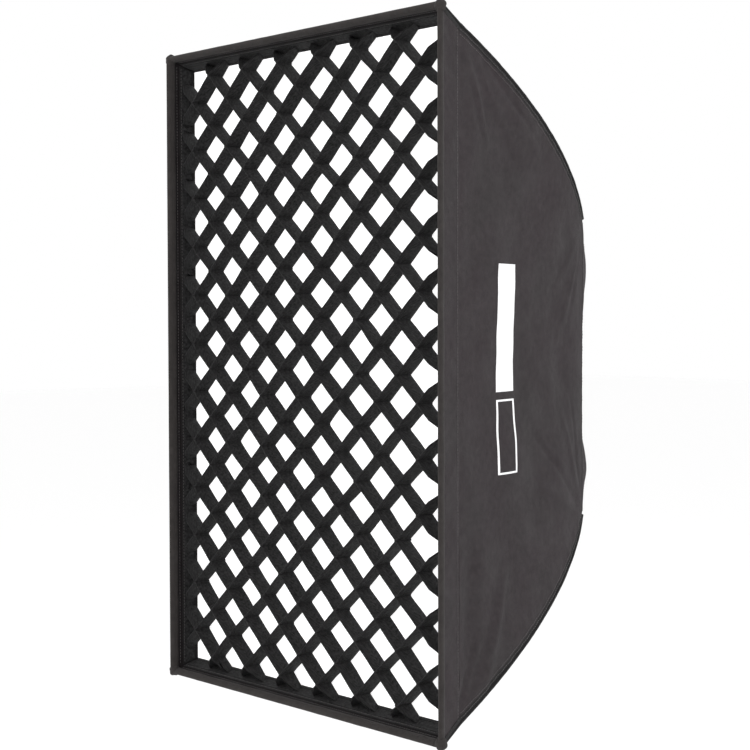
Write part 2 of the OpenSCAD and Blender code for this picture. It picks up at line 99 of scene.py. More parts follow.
def run_of(path):
    """Length of a path up to each of its points."""
    return np.concatenate([[0], np.cumsum(np.linalg.norm(np.diff(path, axis=0), axis=1))])


def place(side, a, y, l):
    """A point from its distance to the axis, its place along the axis, and its place along the side."""
    a, y, l = np.broadcast_arrays(a, y, l)
    turned = {"right": (a, y, l), "top": (-l, y, a), "left": (-a, y, -l), "bottom": (l, y, -a)}
    return np.stack(turned[side], axis=-1)


def shares(side):
    """How much of a radius lies away from the axis and how much along the side, at a corner."""
    c, s = math.cos(CORNER), math.sin(CORNER)
    return (c, s) if ALONG_X[side] else (s, c)


# ---- the shell's surface ----
def seam_r(s):
    return BEND_R + SPREAD * s


def seam_y(s):
    return CROWN_Y - DROP * s * np.maximum(s, 0)


def run_along(side, s):
    """Length of cloth between the ring and s."""
    k = shares(side)[0]
    t = np.linspace(-0.3, 1.0, 400)
    step = np.hypot(np.gradient(k * seam_r(t), t), np.gradient(seam_y(t), t))
    total = np.concatenate([[0], np.cumsum((step[1:] + step[:-1]) / 2 * np.diff(t))])
    return np.interp(s, t, total) - np.interp(0, t, total)


# Extra folds of the right side: distance behind the lip's root and share of the way down at both ends,
# then width and height in mm. A slack valley beside the root, and a pinched fold with its ridge at the
# bottom front corner
RIGHT_FOLDS = (
    (0.030, 0.42, 0.018, 0.99, 18, -6),
    (-0.004, 0.985, 0.020, 0.85, 8, -4.5),
    (0.05, 0.96, 0.13, 0.55, 12, 5),
)


def crease_lines(side):
    """Soft folds that run out from a side's corners: start, end, width and height of each."""
    r = np.random.default_rng(11 + SIDES.index(side))
    kl = shares(side)[1]
    end, fold = run_along(side, 1.0), run_along(side, FOLD_S)
    half_end, half_fold = kl * seam_r(1.0), kl * seam_r(FOLD_S)
    lines = []
    for q, l, way, many in (
        (end, half_end, -1, 5),
        (end, -half_end, -1, 6),
        (fold, half_fold, 1, 4),
        (fold, -half_fold, 1, 4),
    ):
        for i in range(many):
            turn = math.radians(12 + 66 * (i + r.uniform(0.1, 0.9)) / many)
            step = np.array([way * math.sin(turn), -math.copysign(1, l) * math.cos(turn)])
            start = np.array([q, l]) + step * r.uniform(0.018, 0.05)
            height = r.choice([-1, 1]) * r.uniform(1.3, 2.9) * MM
            lines.append((start, start + step * r.uniform(0.07, 0.2), r.uniform(5, 10) * MM, height))
    for _ in range(9):
        l = r.uniform(-0.9, 0.9) * half_fold
        start = np.array([fold + 0.006, l])
        stop = start + np.array([r.uniform(0.05, 0.13), r.uniform(-0.02, 0.02)])
        lines.append((start, stop, r.uniform(6, 12) * MM, r.uniform(-1.2, 1.2) * MM))
    for _ in range(11):
        l = r.uniform(-0.85, 0.85) * half_fold
        start = np.array([fold - 0.004, l])
        stop = start + np.array([-r.uniform(0.03, 0.08), -0.35 * l])
        lines.append((start, stop, r.uniform(5, 9) * MM, r.uniform(-1.3, 1.3) * MM))
    if side == "right":
        for back, down, back_to, down_to, width, height in RIGHT_FOLDS:
            start = np.array([end - back, down * -half_end])
            stop = np.array([end - back_to, down_to * -half_end])
            lines.append((start, stop, width * MM, height * MM))
    return lines


CREASES = {side: crease_lines(side) for side in SIDES}
# How far the mid of each panel is pulled in between its rods
PULL = {"right": 10 * MM, "left": 10 * MM, "top": 7.5 * MM, "bottom": 7.5 * MM}
# Soft bulges of the rear flaps: side, place along the side, half length and height
BULGES = (
    ("right", 0.112, 0.060, 6.4),
    ("right", -0.04, 0.05, -2.0),
    ("right", -0.148, 0.034, 6.6),
    ("left", 0.09, 0.06, 2.4),
    ("left", -0.05, 0.06, -3.0),
    ("top", 0.05, 0.04, 2.6),
    ("top", -0.055, 0.04, -1.6),
    ("bottom", -0.06, 0.035, 2.4),
    ("bottom", 0.062, 0.03, 1.5),
)


def lift(side, s, l):
    """How far the cloth stands out from the rods' surface: pulled in by tension, creased and puckered."""
    s, l = np.broadcast_arrays(s, l)
    half = half_length(side, s)
    q = run_along(side, s)
    fold, end = run_along(side, FOLD_S), run_along(side, 1.0)
    v = np.clip(l / half, -1, 1)
    to_seam, to_root, to_fold = half - np.abs(l), end - q, np.abs(q - fold)
    in_panel = smooth((q - fold) / 0.004 + 0.5)
    hold = smooth(to_seam / 0.05) * smooth(to_root / 0.045) * smooth(to_fold / 0.035)
    across = 1 - v * v
    panel = np.sin(math.pi * np.clip((q - fold) / (end - fold), 0, 1) ** 0.85)
    flap = np.sin(math.pi * np.clip(q / fold, 0, 1))
    out = -PULL[side] * across * panel * in_panel - 4.0 * MM * across * flap * (1 - in_panel)
    for which, at, wide, high in BULGES:
        if which == side:
            out = out + high * MM * np.exp(-(((l - at) / wide) ** 2)) * flap * smooth(to_seam / 0.03)
    for start, stop, width, height in CREASES[side]:
        way = stop - start
        long = np.linalg.norm(way)
        way = way / long
        t = ((q - start[0]) * way[0] + (l - start[1]) * way[1]) / long
        d = (q - start[0]) * way[1] - (l - start[1]) * way[0]
        body = np.exp(-((d / width) ** 2)) - 0.35 * np.exp(-((d / (2.4 * width)) ** 2))
        out = out + height * body * np.sin(math.pi * np.clip(t, 0, 1)) ** 0.8
    p = joined(q, l, SIDES.index(side))
    seed = 40 + 10 * SIDES.index(side)
    out = out + hold * (2.4 * MM * ripples(p, 0.15, seed) + 0.55 * MM * ripples(p, 0.045, seed + 1))
    pucker = np.sin(2 * math.pi * q / 0.021 + 2.2 * ripples(p, 0.09, seed + 2))
    out = out + 0.55 * MM * pucker * np.exp(-to_seam / 0.016) * smooth(to_seam / 0.006)
    pucker = np.sin(2 * math.pi * l / 0.026 + 2.5 * ripples(p, 0.1, seed + 3))
    out = out + 0.5 * MM * pucker * np.exp(-to_root / 0.02) * smooth(to_root / 0.006)
    out = out + 0.45 * MM * pucker * np.exp(-to_fold / 0.014) * smooth(to_fold / 0.005)
    return out - 0.6 * MM * np.exp(-((to_root / 0.006) ** 2))


def shell(side, s, l, out=0.0):
    """Points on a side's cloth at share s of the way to the lip and place l along the side."""
    s, l = np.broadcast_arrays(s, l)
    k = shares(side)[0]
    na, ny = 2 * DROP * np.maximum(s, 0), k * SPREAD
    size = np.hypot(na, ny)
    off = lift(side, s, l) + out
    return place(side, k * seam_r(s) + na / size * off, seam_y(s) + ny / size * off, l)


def half_length(side, s):
    return shares(side)[1] * seam_r(s)


def seam_point(s, inside):
    """A point at one distance inside both panels at the corner between right and top."""
    c, k = math.cos(CORNER), math.sin(CORNER)
    a = unit(np.array([2 * DROP * max(s, 0), SPREAD * c, 0]))
    b = unit(np.array([0, SPREAD * k, 2 * DROP * max(s, 0)]))
    here = np.array([seam_r(s) * c, seam_y(s), seam_r(s) * k])
    return here - inside * (a + b) / (1 + a @ b)


def seam_line(start, stop, n, inside):
    return np.array([seam_point(s, inside) for s in np.linspace(start, stop, n)])


CORNERS = ((1, 1), (-1, 1), (1, -1), (-1, -1))
EDGES = ((1, 0), (-1, 0), (0, 1), (0, -1))
FORWARD = np.array([0.0, -1.0, 0.0])


def mirrored(points, corner):
    return points * np.array([corner[0], 1, corner[1]])


def lip(side, d, l, inside=0.0):
    """Points on the lip at depth d behind the front edge, under an offset from its outer face."""
    half = HALF_W if ALONG_X[side] else HALF_H
    return place(side, half - LEAN * d - inside / SLOPE, FRONT_Y + d - inside * LEAN / SLOPE, l)


def lip_half(side, d):
    return (HALF_H if ALONG_X[side] else HALF_W) - LEAN * d


# ---- mesh building ----
def add_piece(name, verts, faces, uvs, material, edge=None, angle=50):
    """A mesh object with UVs in metres, given for each vertex, and a shade of wear for each vertex."""
    mesh = bpy.data.meshes.new(name)
    mesh.from_pydata(np.asarray(verts, float).tolist(), [], faces)
    layer = mesh.uv_layers.new(name="UVMap")
    index = np.zeros(len(mesh.loops), np.int32)
    mesh.loops.foreach_get("vertex_index", index)
    layer.data.foreach_set("uv", np.asarray(uvs, np.float32)[index].ravel())
    wear = mesh.attributes.new("edge_wear", "FLOAT", "POINT")
    wear.data.foreach_set("value", np.zeros(len(mesh.vertices)) if edge is None else np.ravel(edge))
    mesh.polygons.foreach_set("use_smooth", [True] * len(mesh.polygons))
    mesh.set_sharp_from_angle(angle=math.radians(angle))
    mesh.materials.append(material)
    mesh.validate()
    obj = bpy.data.objects.new(name, mesh)
    bpy.context.scene.collection.objects.link(obj)
    return obj


class Parts:
    """Several pieces of mesh that become one object."""

    def __init__(self):
        self.verts, self.faces, self.uvs, self.edge, self.count = [], [], [], [], 0

    def add(self, verts, faces, uvs, edge=None):
        verts = np.asarray(verts, float).reshape(-1, 3)
        self.faces += [[i + self.count for i in f] for f in faces]
        self.verts.append(verts)
        self.uvs.append(np.asarray(uvs, float).reshape(-1, 2))
        self.edge.append(np.zeros(len(verts)) if edge is None else np.ravel(edge))
        self.count += len(verts)

    def piece(self, name, material, angle=50):
        verts, uvs, edge = map(np.concatenate, (self.verts, self.uvs, self.edge))
        return add_piece(name, verts, self.faces, uvs, material, edge, angle)


def grid_faces(nu, nv, base, flip):
    i = (np.arange(nu - 1)[:, None] * nv + np.arange(nv - 1)[None, :]).ravel() + base
    quads = np.stack([i, i + 1, i + nv + 1, i + nv], axis=1)
    return (quads[:, ::-1] if flip else quads).tolist()


def ring_faces(rings, sides, closed=False):
    """Quads between rings of points along a tube, and a cap at each end where it isn't closed."""
    faces = []
    for i in range(rings if closed else rings - 1):
        a, b = i * sides, (i + 1) % rings * sides
        faces += [[a + j, a + (j + 1) % sides, b + (j + 1) % sides, b + j] for j in range(sides)]
    if not closed:
        faces += [list(range(sides - 1, -1, -1)), list(range((rings - 1) * sides, rings * sides))]
    return faces


def sheet_data(outer, thick, wear=7 * MM):
    """A closed sheet of cloth under a grid of points, with UVs from the lengths along the cloth."""
    nu, nv = outer.shape[:2]
    normal = unit(np.cross(np.gradient(outer, axis=1), np.gradient(outer, axis=0)))
    inner = outer - normal * thick
    m = nu * nv
    faces = grid_faces(nu, nv, 0, False) + grid_faces(nu, nv, m, True)
    ring = [j for j in range(nv)] + [i * nv + nv - 1 for i in range(1, nu)]
    ring += [(nu - 1) * nv + j for j in range(nv - 2, -1, -1)] + [i * nv for i in range(nu - 2, 0, -1)]
    faces += [[b, a, a + m, b + m] for a, b in zip(ring, ring[1:] + ring[:1])]
    u = np.zeros((nu, nv))
    v = np.zeros((nu, nv))
    u[1:] = np.cumsum(np.linalg.norm(np.diff(outer, axis=0), axis=2), axis=0)
    v[:, 1:] = np.cumsum(np.linalg.norm(np.diff(outer, axis=1), axis=2), axis=1)
    v = v - v[:, nv // 2][:, None]
    near = np.minimum(np.minimum(u, u[-1] - u), np.minimum(v - v[:, :1], v[:, -1:] - v))
    edge = np.exp(-np.maximum(near, 0) / wear)
    uv = np.stack([u, v], axis=-1).reshape(-1, 2)
    verts = np.concatenate([outer.reshape(-1, 3), inner.reshape(-1, 3)])
    return verts, faces, np.concatenate([uv, uv]), np.concatenate([edge.ravel(), edge.ravel()])


def cloth_sheet(name, outer, thick, material, wear=7 * MM):
    verts, faces, uvs, edge = sheet_data(outer, thick, wear)
    return add_piece(name, verts, faces, uvs, material, edge, 60)


def spaced(n, crowd=0.0):
    """n numbers from -1 to 1, closer together towards both ends where crowd is over 0."""
    t = np.linspace(-1, 1, n)
    return (1 - crowd) * t + crowd * np.sin(t * math.pi / 2)


def tube_data(path, radius, sides=12, flat=1.0, up=None, closed=False):
    """A tube along a path; flat squashes it along the up direction."""
    path = np.asarray(path, float)
    n = len(path)
    if closed:
        tangent = unit(np.roll(path, -1, axis=0) - np.roll(path, 1, axis=0))
    else:
        tangent = unit(np.gradient(path, axis=0))
    if up is None:
        first = np.array([0.0, 1.0, 0.0])
        if abs(tangent[0] @ first) > 0.9:
            first = np.array([0.0, 0.0, 1.0])
        ups = [first - (first @ tangent[0]) * tangent[0]]
        for t in tangent[1:]:
            ups.append(ups[-1] - (ups[-1] @ t) * t)
        ups = unit(np.array(ups))
    else:
        up = np.broadcast_to(up, path.shape)
        ups = unit(up - np.sum(up * tangent, axis=1, keepdims=True) * tangent)
    side = np.cross(tangent, ups)
    radius = np.broadcast_to(radius, n)[:, None, None]
    turn = np.linspace(0, 2 * math.pi, sides, endpoint=False)
    c, s = np.cos(turn)[None, :, None], np.sin(turn)[None, :, None]
    ring = path[:, None] + radius * (c * side[:, None] + flat * s * ups[:, None])
    faces = ring_faces(n, sides, closed)
    long = run_of(path)
    uv = joined(long[:, None], turn * radius[:, :, 0])
    return ring.reshape(-1, 3), faces, uv.reshape(-1, 2)


# A stitch's rings: share of its length, share of its thickness, and height in mm
STITCH_RINGS = ((0.0, 0.3, -0.2), (0.16, 0.9, 0.22), (0.5, 1.0, 0.42), (0.84, 0.9, 0.22), (1.0, 0.3, -0.2))


def stitch_row(parts, path, normal, pitch=4.4 * MM, long=3.3 * MM, r=0.33 * MM, sides=5):
    """A row of sewn stitches along a line on the cloth; each dips into it at both ends."""
    path = np.asarray(path, float)
    gone = run_of(path)
    n = int(gone[-1] / pitch)
    if n < 1:
        return
    starts = (np.arange(n) + 0.12) * gone[-1] / n
    at = starts[:, None] + np.array([ring[0] for ring in STITCH_RINGS]) * long
    normal = np.broadcast_to(normal, path.shape)
    p = np.stack([np.interp(at, gone, path[:, i]) for i in range(3)], axis=-1)
    up = unit(np.stack([np.interp(at, gone, normal[:, i]) for i in range(3)], axis=-1))
    way = unit(p[:, -1:] - p[:, :1])
    across = np.cross(way, up)
    high = np.array([ring[2] for ring in STITCH_RINGS])[None, :, None] * MM
    thick = np.array([ring[1] for ring in STITCH_RINGS])[None, :, None, None] * r
    turn = np.linspace(0, 2 * math.pi, sides, endpoint=False)
    c, s = np.cos(turn)[None, None, :, None], np.sin(turn)[None, None, :, None]
    ring = (p + up * high)[:, :, None] + thick * (c * across[:, :, None] + s * up[:, :, None])
    k = len(STITCH_RINGS)
    one = ring_faces(k, sides)
    faces = [[i + b * k * sides for i in f] for b in range(n) for f in one]
    uv = joined(at[:, :, None], turn * r)
    parts.add(ring, faces, uv)


# ---- materials ----
class Finish:
    """A node material that starts with one Principled shader, and helpers that add nodes to it."""

    def __init__(self, name, space="UV"):
        self.mat = bpy.data.materials.new(name)
        self.mat.use_nodes = True
        self.tree = self.mat.node_tree
        self.tree.nodes.clear()
        self.shader = self.add("ShaderNodeBsdfPrincipled")
        self.link(self.shader.outputs[0], self.add("ShaderNodeOutputMaterial").inputs[0])
        self.at = self.add("ShaderNodeTexCoord").outputs[space]
        self.bump_end = None

    def add(self, kind, **values):
        node = self.tree.nodes.new(kind)
        for key, value in values.items():
            setattr(node, key, value)
        return node

    def link(self, a, b):
        self.tree.links.new(a, b)

    def put(self, value, socket):
        if isinstance(value, bpy.types.NodeSocket):
            self.link(value, socket)
        else:
            socket.default_value = value

    def maths(self, operation, a, b=0.0):
        node = self.add("ShaderNodeMath", operation=operation)
        self.put(a, node.inputs[0])
        self.put(b, node.inputs[1])
        return node.outputs[0]

    def stretch(self, scale):
        node = self.add("ShaderNodeVectorMath", operation="MULTIPLY")
        self.link(self.at, node.inputs[0])
        node.inputs[1].default_value = scale
        return node.outputs[0]

    def noise(self, size, detail=2.0, rough=0.5, scale=(1, 1, 1), low=0.0, high=1.0):
        """Noise whose blotches are about that size, spread to run from low to high."""
        node = self.add("ShaderNodeTexNoise")
        self.link(self.stretch(scale), node.inputs["Vector"])
        node.inputs["Scale"].default_value = 0.6 / size
        node.inputs["Detail"].default_value = detail
        node.inputs["Roughness"].default_value = rough
        spread = self.add("ShaderNodeMapRange")
        self.link(node.outputs[0], spread.inputs[0])
        for i, value in enumerate((0.3, 0.7, low, high)):
            spread.inputs[i + 1].default_value = value
        return spread.outputs[0]

    def bands(self, period, way, vector=None, bend=0.0):
        node = self.add("ShaderNodeTexWave", wave_type="BANDS", bands_direction=way)
        self.link(vector or self.at, node.inputs["Vector"])
        node.inputs["Scale"].default_value = 2 * math.pi / (20 * period)
        node.inputs["Distortion"].default_value = bend
        node.inputs["Detail"].default_value = 1.0
        return node.outputs["Fac"]

    def weave(self, period, ratio=1.0, diagonal=False):
        """Plain weave, or twill where diagonal: 0 in the hollows and 1 on the threads."""
        a, b = self.bands(period, "X", bend=0.4), self.bands(period * ratio, "Y", bend=0.4)
        plain = self.maths("ABSOLUTE", self.maths("SUBTRACT", a, b))
        if not diagonal:
            return plain
        return self.maths("MULTIPLY", self.maths("ADD", plain, self.bands(period * 2, "DIAGONAL")), 0.5)

    def mix(self, factor, a, b, blend="MIX"):
        node = self.add("ShaderNodeMix", data_type="RGBA", blend_type=blend)
        for value, socket in ((factor, node.inputs[0]), (a, node.inputs[6]), (b, node.inputs[7])):
            self.put((*value, 1.0) if isinstance(value, tuple) and len(value) == 3 else value, socket)
        return node.outputs[2]

    def bump(self, height, depth, strength=1.0):
        node = self.add("ShaderNodeBump")
        node.inputs["Strength"].default_value = strength
        node.inputs["Distance"].default_value = depth
        self.link(height, node.inputs["Height"])
        if self.bump_end:
            self.link(self.bump_end, node.inputs["Normal"])
        self.bump_end = node.outputs[0]

    def wear(self):
        return self.add("ShaderNodeAttribute", attribute_name="edge_wear").outputs["Fac"]

    def done(self, colour, roughness, **constants):
        self.put(colour, self.shader.inputs["Base Color"])
        self.put(roughness, self.shader.inputs["Roughness"])
        for key, value in constants.items():
            self.shader.inputs[key.replace("_", " ")].default_value = value
        if self.bump_end:
            self.link(self.bump_end, self.shader.inputs["Normal"])
        return self.mat


def cloth(name, colour, tint, worn, period, thread, crumple, ratio=1.0, diagonal=False, size=18 * MM,
          rough=(0.72, 0.95), mottle=0.6, fleck_and_glint=(0.006, 0.82, 1.12), Specular_IOR_Level=0.12, **constants):
    """Woven cloth: mottled colour, threads with painted shade in the hollows between them, specks of tone
    that on the grid cloth are painted glints, small crumples, and fading where it rubs along its edges.
    """
    f = Finish(name)
    cloud = f.noise(0.09, 3.0, 0.55, high=mottle)
    # Specks of tone; where they spread wide, as on the grid cloth, they are painted glints of light through
    # the weave.
    fleck_and_glint = f.noise(fleck_and_glint[0], 2.0, 0.6, low=fleck_and_glint[1], high=fleck_and_glint[2])
    weave = f.weave(period, ratio, diagonal)
    base = f.mix(cloud, colour, tint)
    base = f.mix(f.maths("MULTIPLY", f.wear(), f.noise(0.012, 3.0, 0.6, low=0.1, high=0.75)), base, worn)
    # Painted shade: the weave's hollows are darkened to 0.8 of the colour and the threads lifted to 1.1.
    dark = f.add("ShaderNodeMapRange")
    f.link(weave, dark.inputs[0])
    dark.inputs[3].default_value, dark.inputs[4].default_value = 0.8, 1.1
    shade = f.maths("MULTIPLY", fleck_and_glint, dark.outputs[0])
    shaded = f.add("ShaderNodeVectorMath", operation="SCALE")
    f.link(base, shaded.inputs[0])
    f.link(shade, shaded.inputs["Scale"])
    f.bump(f.noise(size, 3.0, 0.6), crumple)
    f.bump(weave, thread, 0.8)
    return f.done(shaded.outputs[0], f.noise(0.03, 2.0, low=rough[0], high=rough[1]),
                  Specular_IOR_Level=Specular_IOR_Level, **constants)


def shiny_lining(name):
    f = Finish(name)
    crinkle = f.noise(0.011, 4.0, 0.65)
    weave = f.weave(0.8 * MM)
    base = f.mix(f.noise(0.05, 3.0, high=0.8), (0.74, 0.74, 0.76), (0.58, 0.58, 0.6))
    base = f.mix(f.maths("MULTIPLY", f.wear(), 0.6), base, (0.35, 0.35, 0.36))
    f.bump(crinkle, 1.2 * MM)
    f.bump(weave, 0.06 * MM, 0.6)
    return f.done(base, f.noise(0.02, 2.0, low=0.28, high=0.5), Metallic=0.75)


def turned_metal(name, colour, dark, rough):
    """Lathe-turned metal: fine rings about the light's axis, with smudges and small scratches."""
    f = Finish(name, "Object")
    split = f.add("ShaderNodeSeparateXYZ")
    f.link(f.at, split.inputs[0])
    r2 = f.maths("ADD", f.maths("MULTIPLY", split.outputs[0], split.outputs[0]),
                 f.maths("MULTIPLY", split.outputs[2], split.outputs[2]))
    join = f.add("ShaderNodeCombineXYZ")
    f.link(f.maths("SQRT", r2), join.inputs[0])
    f.link(split.outputs[1], join.inputs[1])
    rings = f.bands(0.45 * MM, "DIAGONAL", join.outputs[0], 1.5)
    scratch = f.noise(0.0012, 3.0, 0.7, (1, 0.12, 0.5))
    base = f.mix(f.noise(0.018, 3.0, 0.6, high=0.75), colour, dark)
    base = f.mix(f.maths("MULTIPLY", scratch, 0.22), base, (0.2, 0.2, 0.2))
    f.bump(rings, 0.012 * MM)
    f.bump(scratch, 0.02 * MM)
    return f.done(base, f.noise(0.01, 3.0, 0.6, low=rough[0], high=rough[1]), Metallic=1.0)


def drawn_metal(name, colour, dark, rough, space="UV", scale=(0.04, 1, 1)):
    """Drawn or brushed steel with lines along its length."""
    f = Finish(name, space)
    lines = f.noise(0.0008, 2.0, 0.6, scale)
    base = f.mix(lines, colour, dark)
    base = f.mix(f.noise(0.025, 3.0, 0.6, low=0.0, high=0.35), base, (0.1, 0.09, 0.08))
    f.bump(lines, 0.02 * MM)
    return f.done(base, f.noise(0.006, 2.0, low=rough[0], high=rough[1]), Metallic=1.0)


def moulded(name, colour, scuffed, grain=0.5 * MM, rough=(0.45, 0.62)):
    """Moulded plastic with a fine grain, smudges and scuffs."""
    f = Finish(name, "Object")
    fine = f.noise(grain, 1.0)
    base = f.mix(f.noise(0.006, 4.0, 0.7, low=-0.4, high=0.7), colour, scuffed)
    f.bump(fine, 0.05 * MM)
    f.bump(f.noise(0.004, 3.0, 0.7), 0.03 * MM)
    return f.done(base, f.noise(0.008, 3.0, 0.6, low=rough[0], high=rough[1]))


def thread(name, colour, light):
    """Sewing thread: twisted strands, with some stitches paler than others."""
    f = Finish(name)
    twist = f.bands(0.5 * MM, "DIAGONAL")
    base = f.mix(f.noise(0.007, 2.0), colour, light)
    base = f.mix(twist, base, tuple(0.45 * c for c in colour))
    f.bump(twist, 0.05 * MM)
    return f.done(base, f.noise(0.004, 1.0, low=0.55, high=0.8), Sheen_Weight=0.2)


def screen_print(name):
    """White ink printed on the cloth: thin spots and the cloth's threads show through it."""
    f = Finish(name)
    weave = f.weave(0.9 * MM)
    thin = f.noise(0.004, 4.0, 0.7, low=-0.5, high=0.55)
    base = f.mix(thin, (0.86, 0.86, 0.87), (0.62, 0.61, 0.62))
    base = f.mix(f.maths("MULTIPLY", weave, 0.16), base, (0.4, 0.4, 0.4))
    f.bump(weave, 0.08 * MM)
    return f.done(base, f.noise(0.006, 2.0, low=0.5, high=0.7))


SHELL = (0.0300, 0.0235, 0.0262)
OXFORD = cloth("oxford_cloth", SHELL, (0.0305, 0.0282, 0.0285), (0.036, 0.030, 0.032), 0.95 * MM, 0.10 * MM,
               0.5 * MM, ratio=1.1, Sheen_Weight=0.03, Sheen_Roughness=0.5)
LIP_CLOTH = cloth("lip_cloth", (0.0058, 0.0043, 0.0048), (0.0076, 0.0056, 0.0062), (0.012, 0.010, 0.010),
                  0.9 * MM, 0.10 * MM, 0.4 * MM, Sheen_Weight=0.02)
HEM_CLOTH = cloth("hem_cloth", (0.0285, 0.0250, 0.0245), (0.034, 0.0300, 0.0285), (0.038, 0.034, 0.032),
                  0.9 * MM, 0.12 * MM, 0.5 * MM, Sheen_Weight=0.05)
WEBBING = cloth("black_webbing", (0.0125, 0.0118, 0.012), (0.019, 0.018, 0.0185), (0.035, 0.034, 0.034),
                1.7 * MM, 0.2 * MM, 0.1 * MM, ratio=0.6, diagonal=True, Sheen_Weight=0.04)
# Its specks run from 0.15 to 3 times the colour: painted glints of light through the black weave.
GRID_CLOTH = cloth("grid_cloth", (0.0088, 0.0086, 0.0088), (0.0120, 0.0116, 0.012), (0.011, 0.011, 0.011),
                   1.9 * MM, 0.2 * MM, 0.25 * MM, ratio=0.8, size=9 * MM, mottle=0.9,
                   fleck_and_glint=(0.0024, 0.15, 3.0), Sheen_Weight=0.02)
VELVET = cloth("loop_pile", (0.0065, 0.0056, 0.006), (0.0095, 0.008, 0.0086), (0.014, 0.013, 0.013),
               0.7 * MM, 0.35 * MM, 0.5 * MM, size=3 * MM, rough=(0.9, 1.0), Sheen_Weight=0.06,
               Sheen_Roughness=0.6)
# The front diffuser glows (emission 0.72) though no lamp is inside the box: painted light that keeps it
# near white.
GLOWING_DIFFUSER = cloth("diffuser_cloth", (0.93, 0.93, 0.925), (0.90, 0.90, 0.90), (0.88, 0.88, 0.875), 0.5 * MM,
                 0.05 * MM, 0.3 * MM, rough=(0.6, 0.75), Emission_Color=(1.0, 1.0, 1.0, 1.0),
                 Emission_Strength=0.72)
BAFFLE = cloth("baffle_cloth", (0.9, 0.9, 0.89), (0.86, 0.86, 0.85), (0.8, 0.8, 0.79), 0.5 * MM,
               0.05 * MM, 0.5 * MM, rough=(0.6, 0.75))
SILVER = shiny_lining("silver_lining_cloth")
THREAD = thread("black_thread", (0.055, 0.05, 0.052), (0.13, 0.12, 0.12))
PALE_THREAD = thread("white_thread", (0.75, 0.75, 0.74), (0.85, 0.85, 0.84))
INK = screen_print("white_ink")
ALUMINIUM = turned_metal("turned_aluminium", (0.66, 0.67, 0.69), (0.5, 0.51, 0.53), (0.24, 0.42))
ANODISED = turned_metal("anodised_black", (0.045, 0.045, 0.048), (0.03, 0.03, 0.032), (0.3, 0.45))
STEEL = drawn_metal("plated_steel", (0.6, 0.61, 0.63), (0.45, 0.46, 0.48), (0.25, 0.42), "Object",
                    (1, 1, 0.2))
ROD_STEEL = drawn_metal("spring_steel_rod", (0.36, 0.36, 0.37), (0.24, 0.24, 0.25), (0.28, 0.45))
BLACK_PLASTIC = moulded("black_nylon", (0.022, 0.022, 0.023), (0.06, 0.06, 0.06))
WHITE_NYLON = moulded("white_nylon_part", (0.82, 0.82, 0.79), (0.7, 0.7, 0.66), 0.8 * MM)


# ---- outer cloth, lining, corner seams ----
def finish(obj, body, replaces=()):
    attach(obj, body)
    if replaces:
        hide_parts(*replaces)
    return obj


def side_grid(side, s_from, s_to, nu, nv, gap, out, crowd=0.35):
    """A grid of points on a side's cloth between two shares of the way, short of both seams by gap."""
    s = s_from + (s_to - s_from) * (spaced(nu, crowd) + 1) / 2
    half = half_length(side, s) - gap
    return shell(side, s[:, None], spaced(nv, 0.5)[None, :] * half[:, None], out)


def panel_cut(side, s_from):
    """Width, length and area of the flat piece that a side is cut from."""
    s = np.linspace(s_from, 1, 60)
    q, half = run_along(side, s), half_length(side, s)
    area = float(np.sum((half[1:] + half[:-1]) * np.diff(q)))
    return (2 * float(half[-1]), float(q[-1] - q[0])), area


def stitch_shell(parts, side, s, l, out):
    """A row of stitches on a side's cloth."""
    s, l = np.broadcast_arrays(s, l)
    row = shell(side, s, l, out)
    stitch_row(parts, row, unit(shell(side, s, l, out + 0.01) - row))


def stitch_lip(parts, side, d, inside, short, sign=1):
    """A row of stitches on the lip's outer face, or on its inner face where sign is -1."""
    l = np.linspace(-1, 1, 200) * (lip_half(side, d) - short)
    row = lip(side, d + 0 * l, l, inside)
    stitch_row(parts, row, sign * unit(lip(side, d + 0 * l, l, inside - 0.01) - row))


PANEL_ROWS, PANEL_COLS, SHORT_COLS = 92, 190, 140
LINING_UNDER, LINING_T = 1.6 * MM, 0.5 * MM
for side in SIDES:
    cols = PANEL_COLS if ALONG_X[side] else SHORT_COLS
    outer = side_grid(side, FOLD_S, 1.0, PANEL_ROWS, cols, 0.8 * MM, 0.0)
    panel = cloth_sheet("shell_" + side, outer, CLOTH, OXFORD)
    finish(panel, "softbox", ("panel_" + side,))
    flat, area = panel_cut(side, FOLD_S)
    outer = side_grid(side, FOLD_S + 0.003, 0.997, 60, 120, 3 * MM, -LINING_UNDER)
    lining = cloth_sheet("lining_cloth_" + side, outer, LINING_T, SILVER)
    finish(lining, "softbox", ("lining_" + side,))

piping = Parts()
tape = Parts()
stitches = Parts()
SEAM_N = 150
SEAM_END = 0.998
PIPE_R = 2.0 * MM
TAPE_FROM = FOLD_S + 0.008
TAPE_W = 6.5 * MM
TAPE_T = 0.7 * MM
TAPE_ROW, CLOTH_ROW = TAPE_W * 0.78, TAPE_W + 4.2 * MM
TAPE_ACROSS = np.linspace(0.0, 1.0, 6)[None, :]
TAPE_RISE = TAPE_T * (1 - 0.7 * np.abs(2 * TAPE_ACROSS - 1) ** 6)


def add_tape(strip, end):
    tape.add(*sheet_data(strip[:, ::-1] if end > 0 else strip, TAPE_T, 1 * MM))


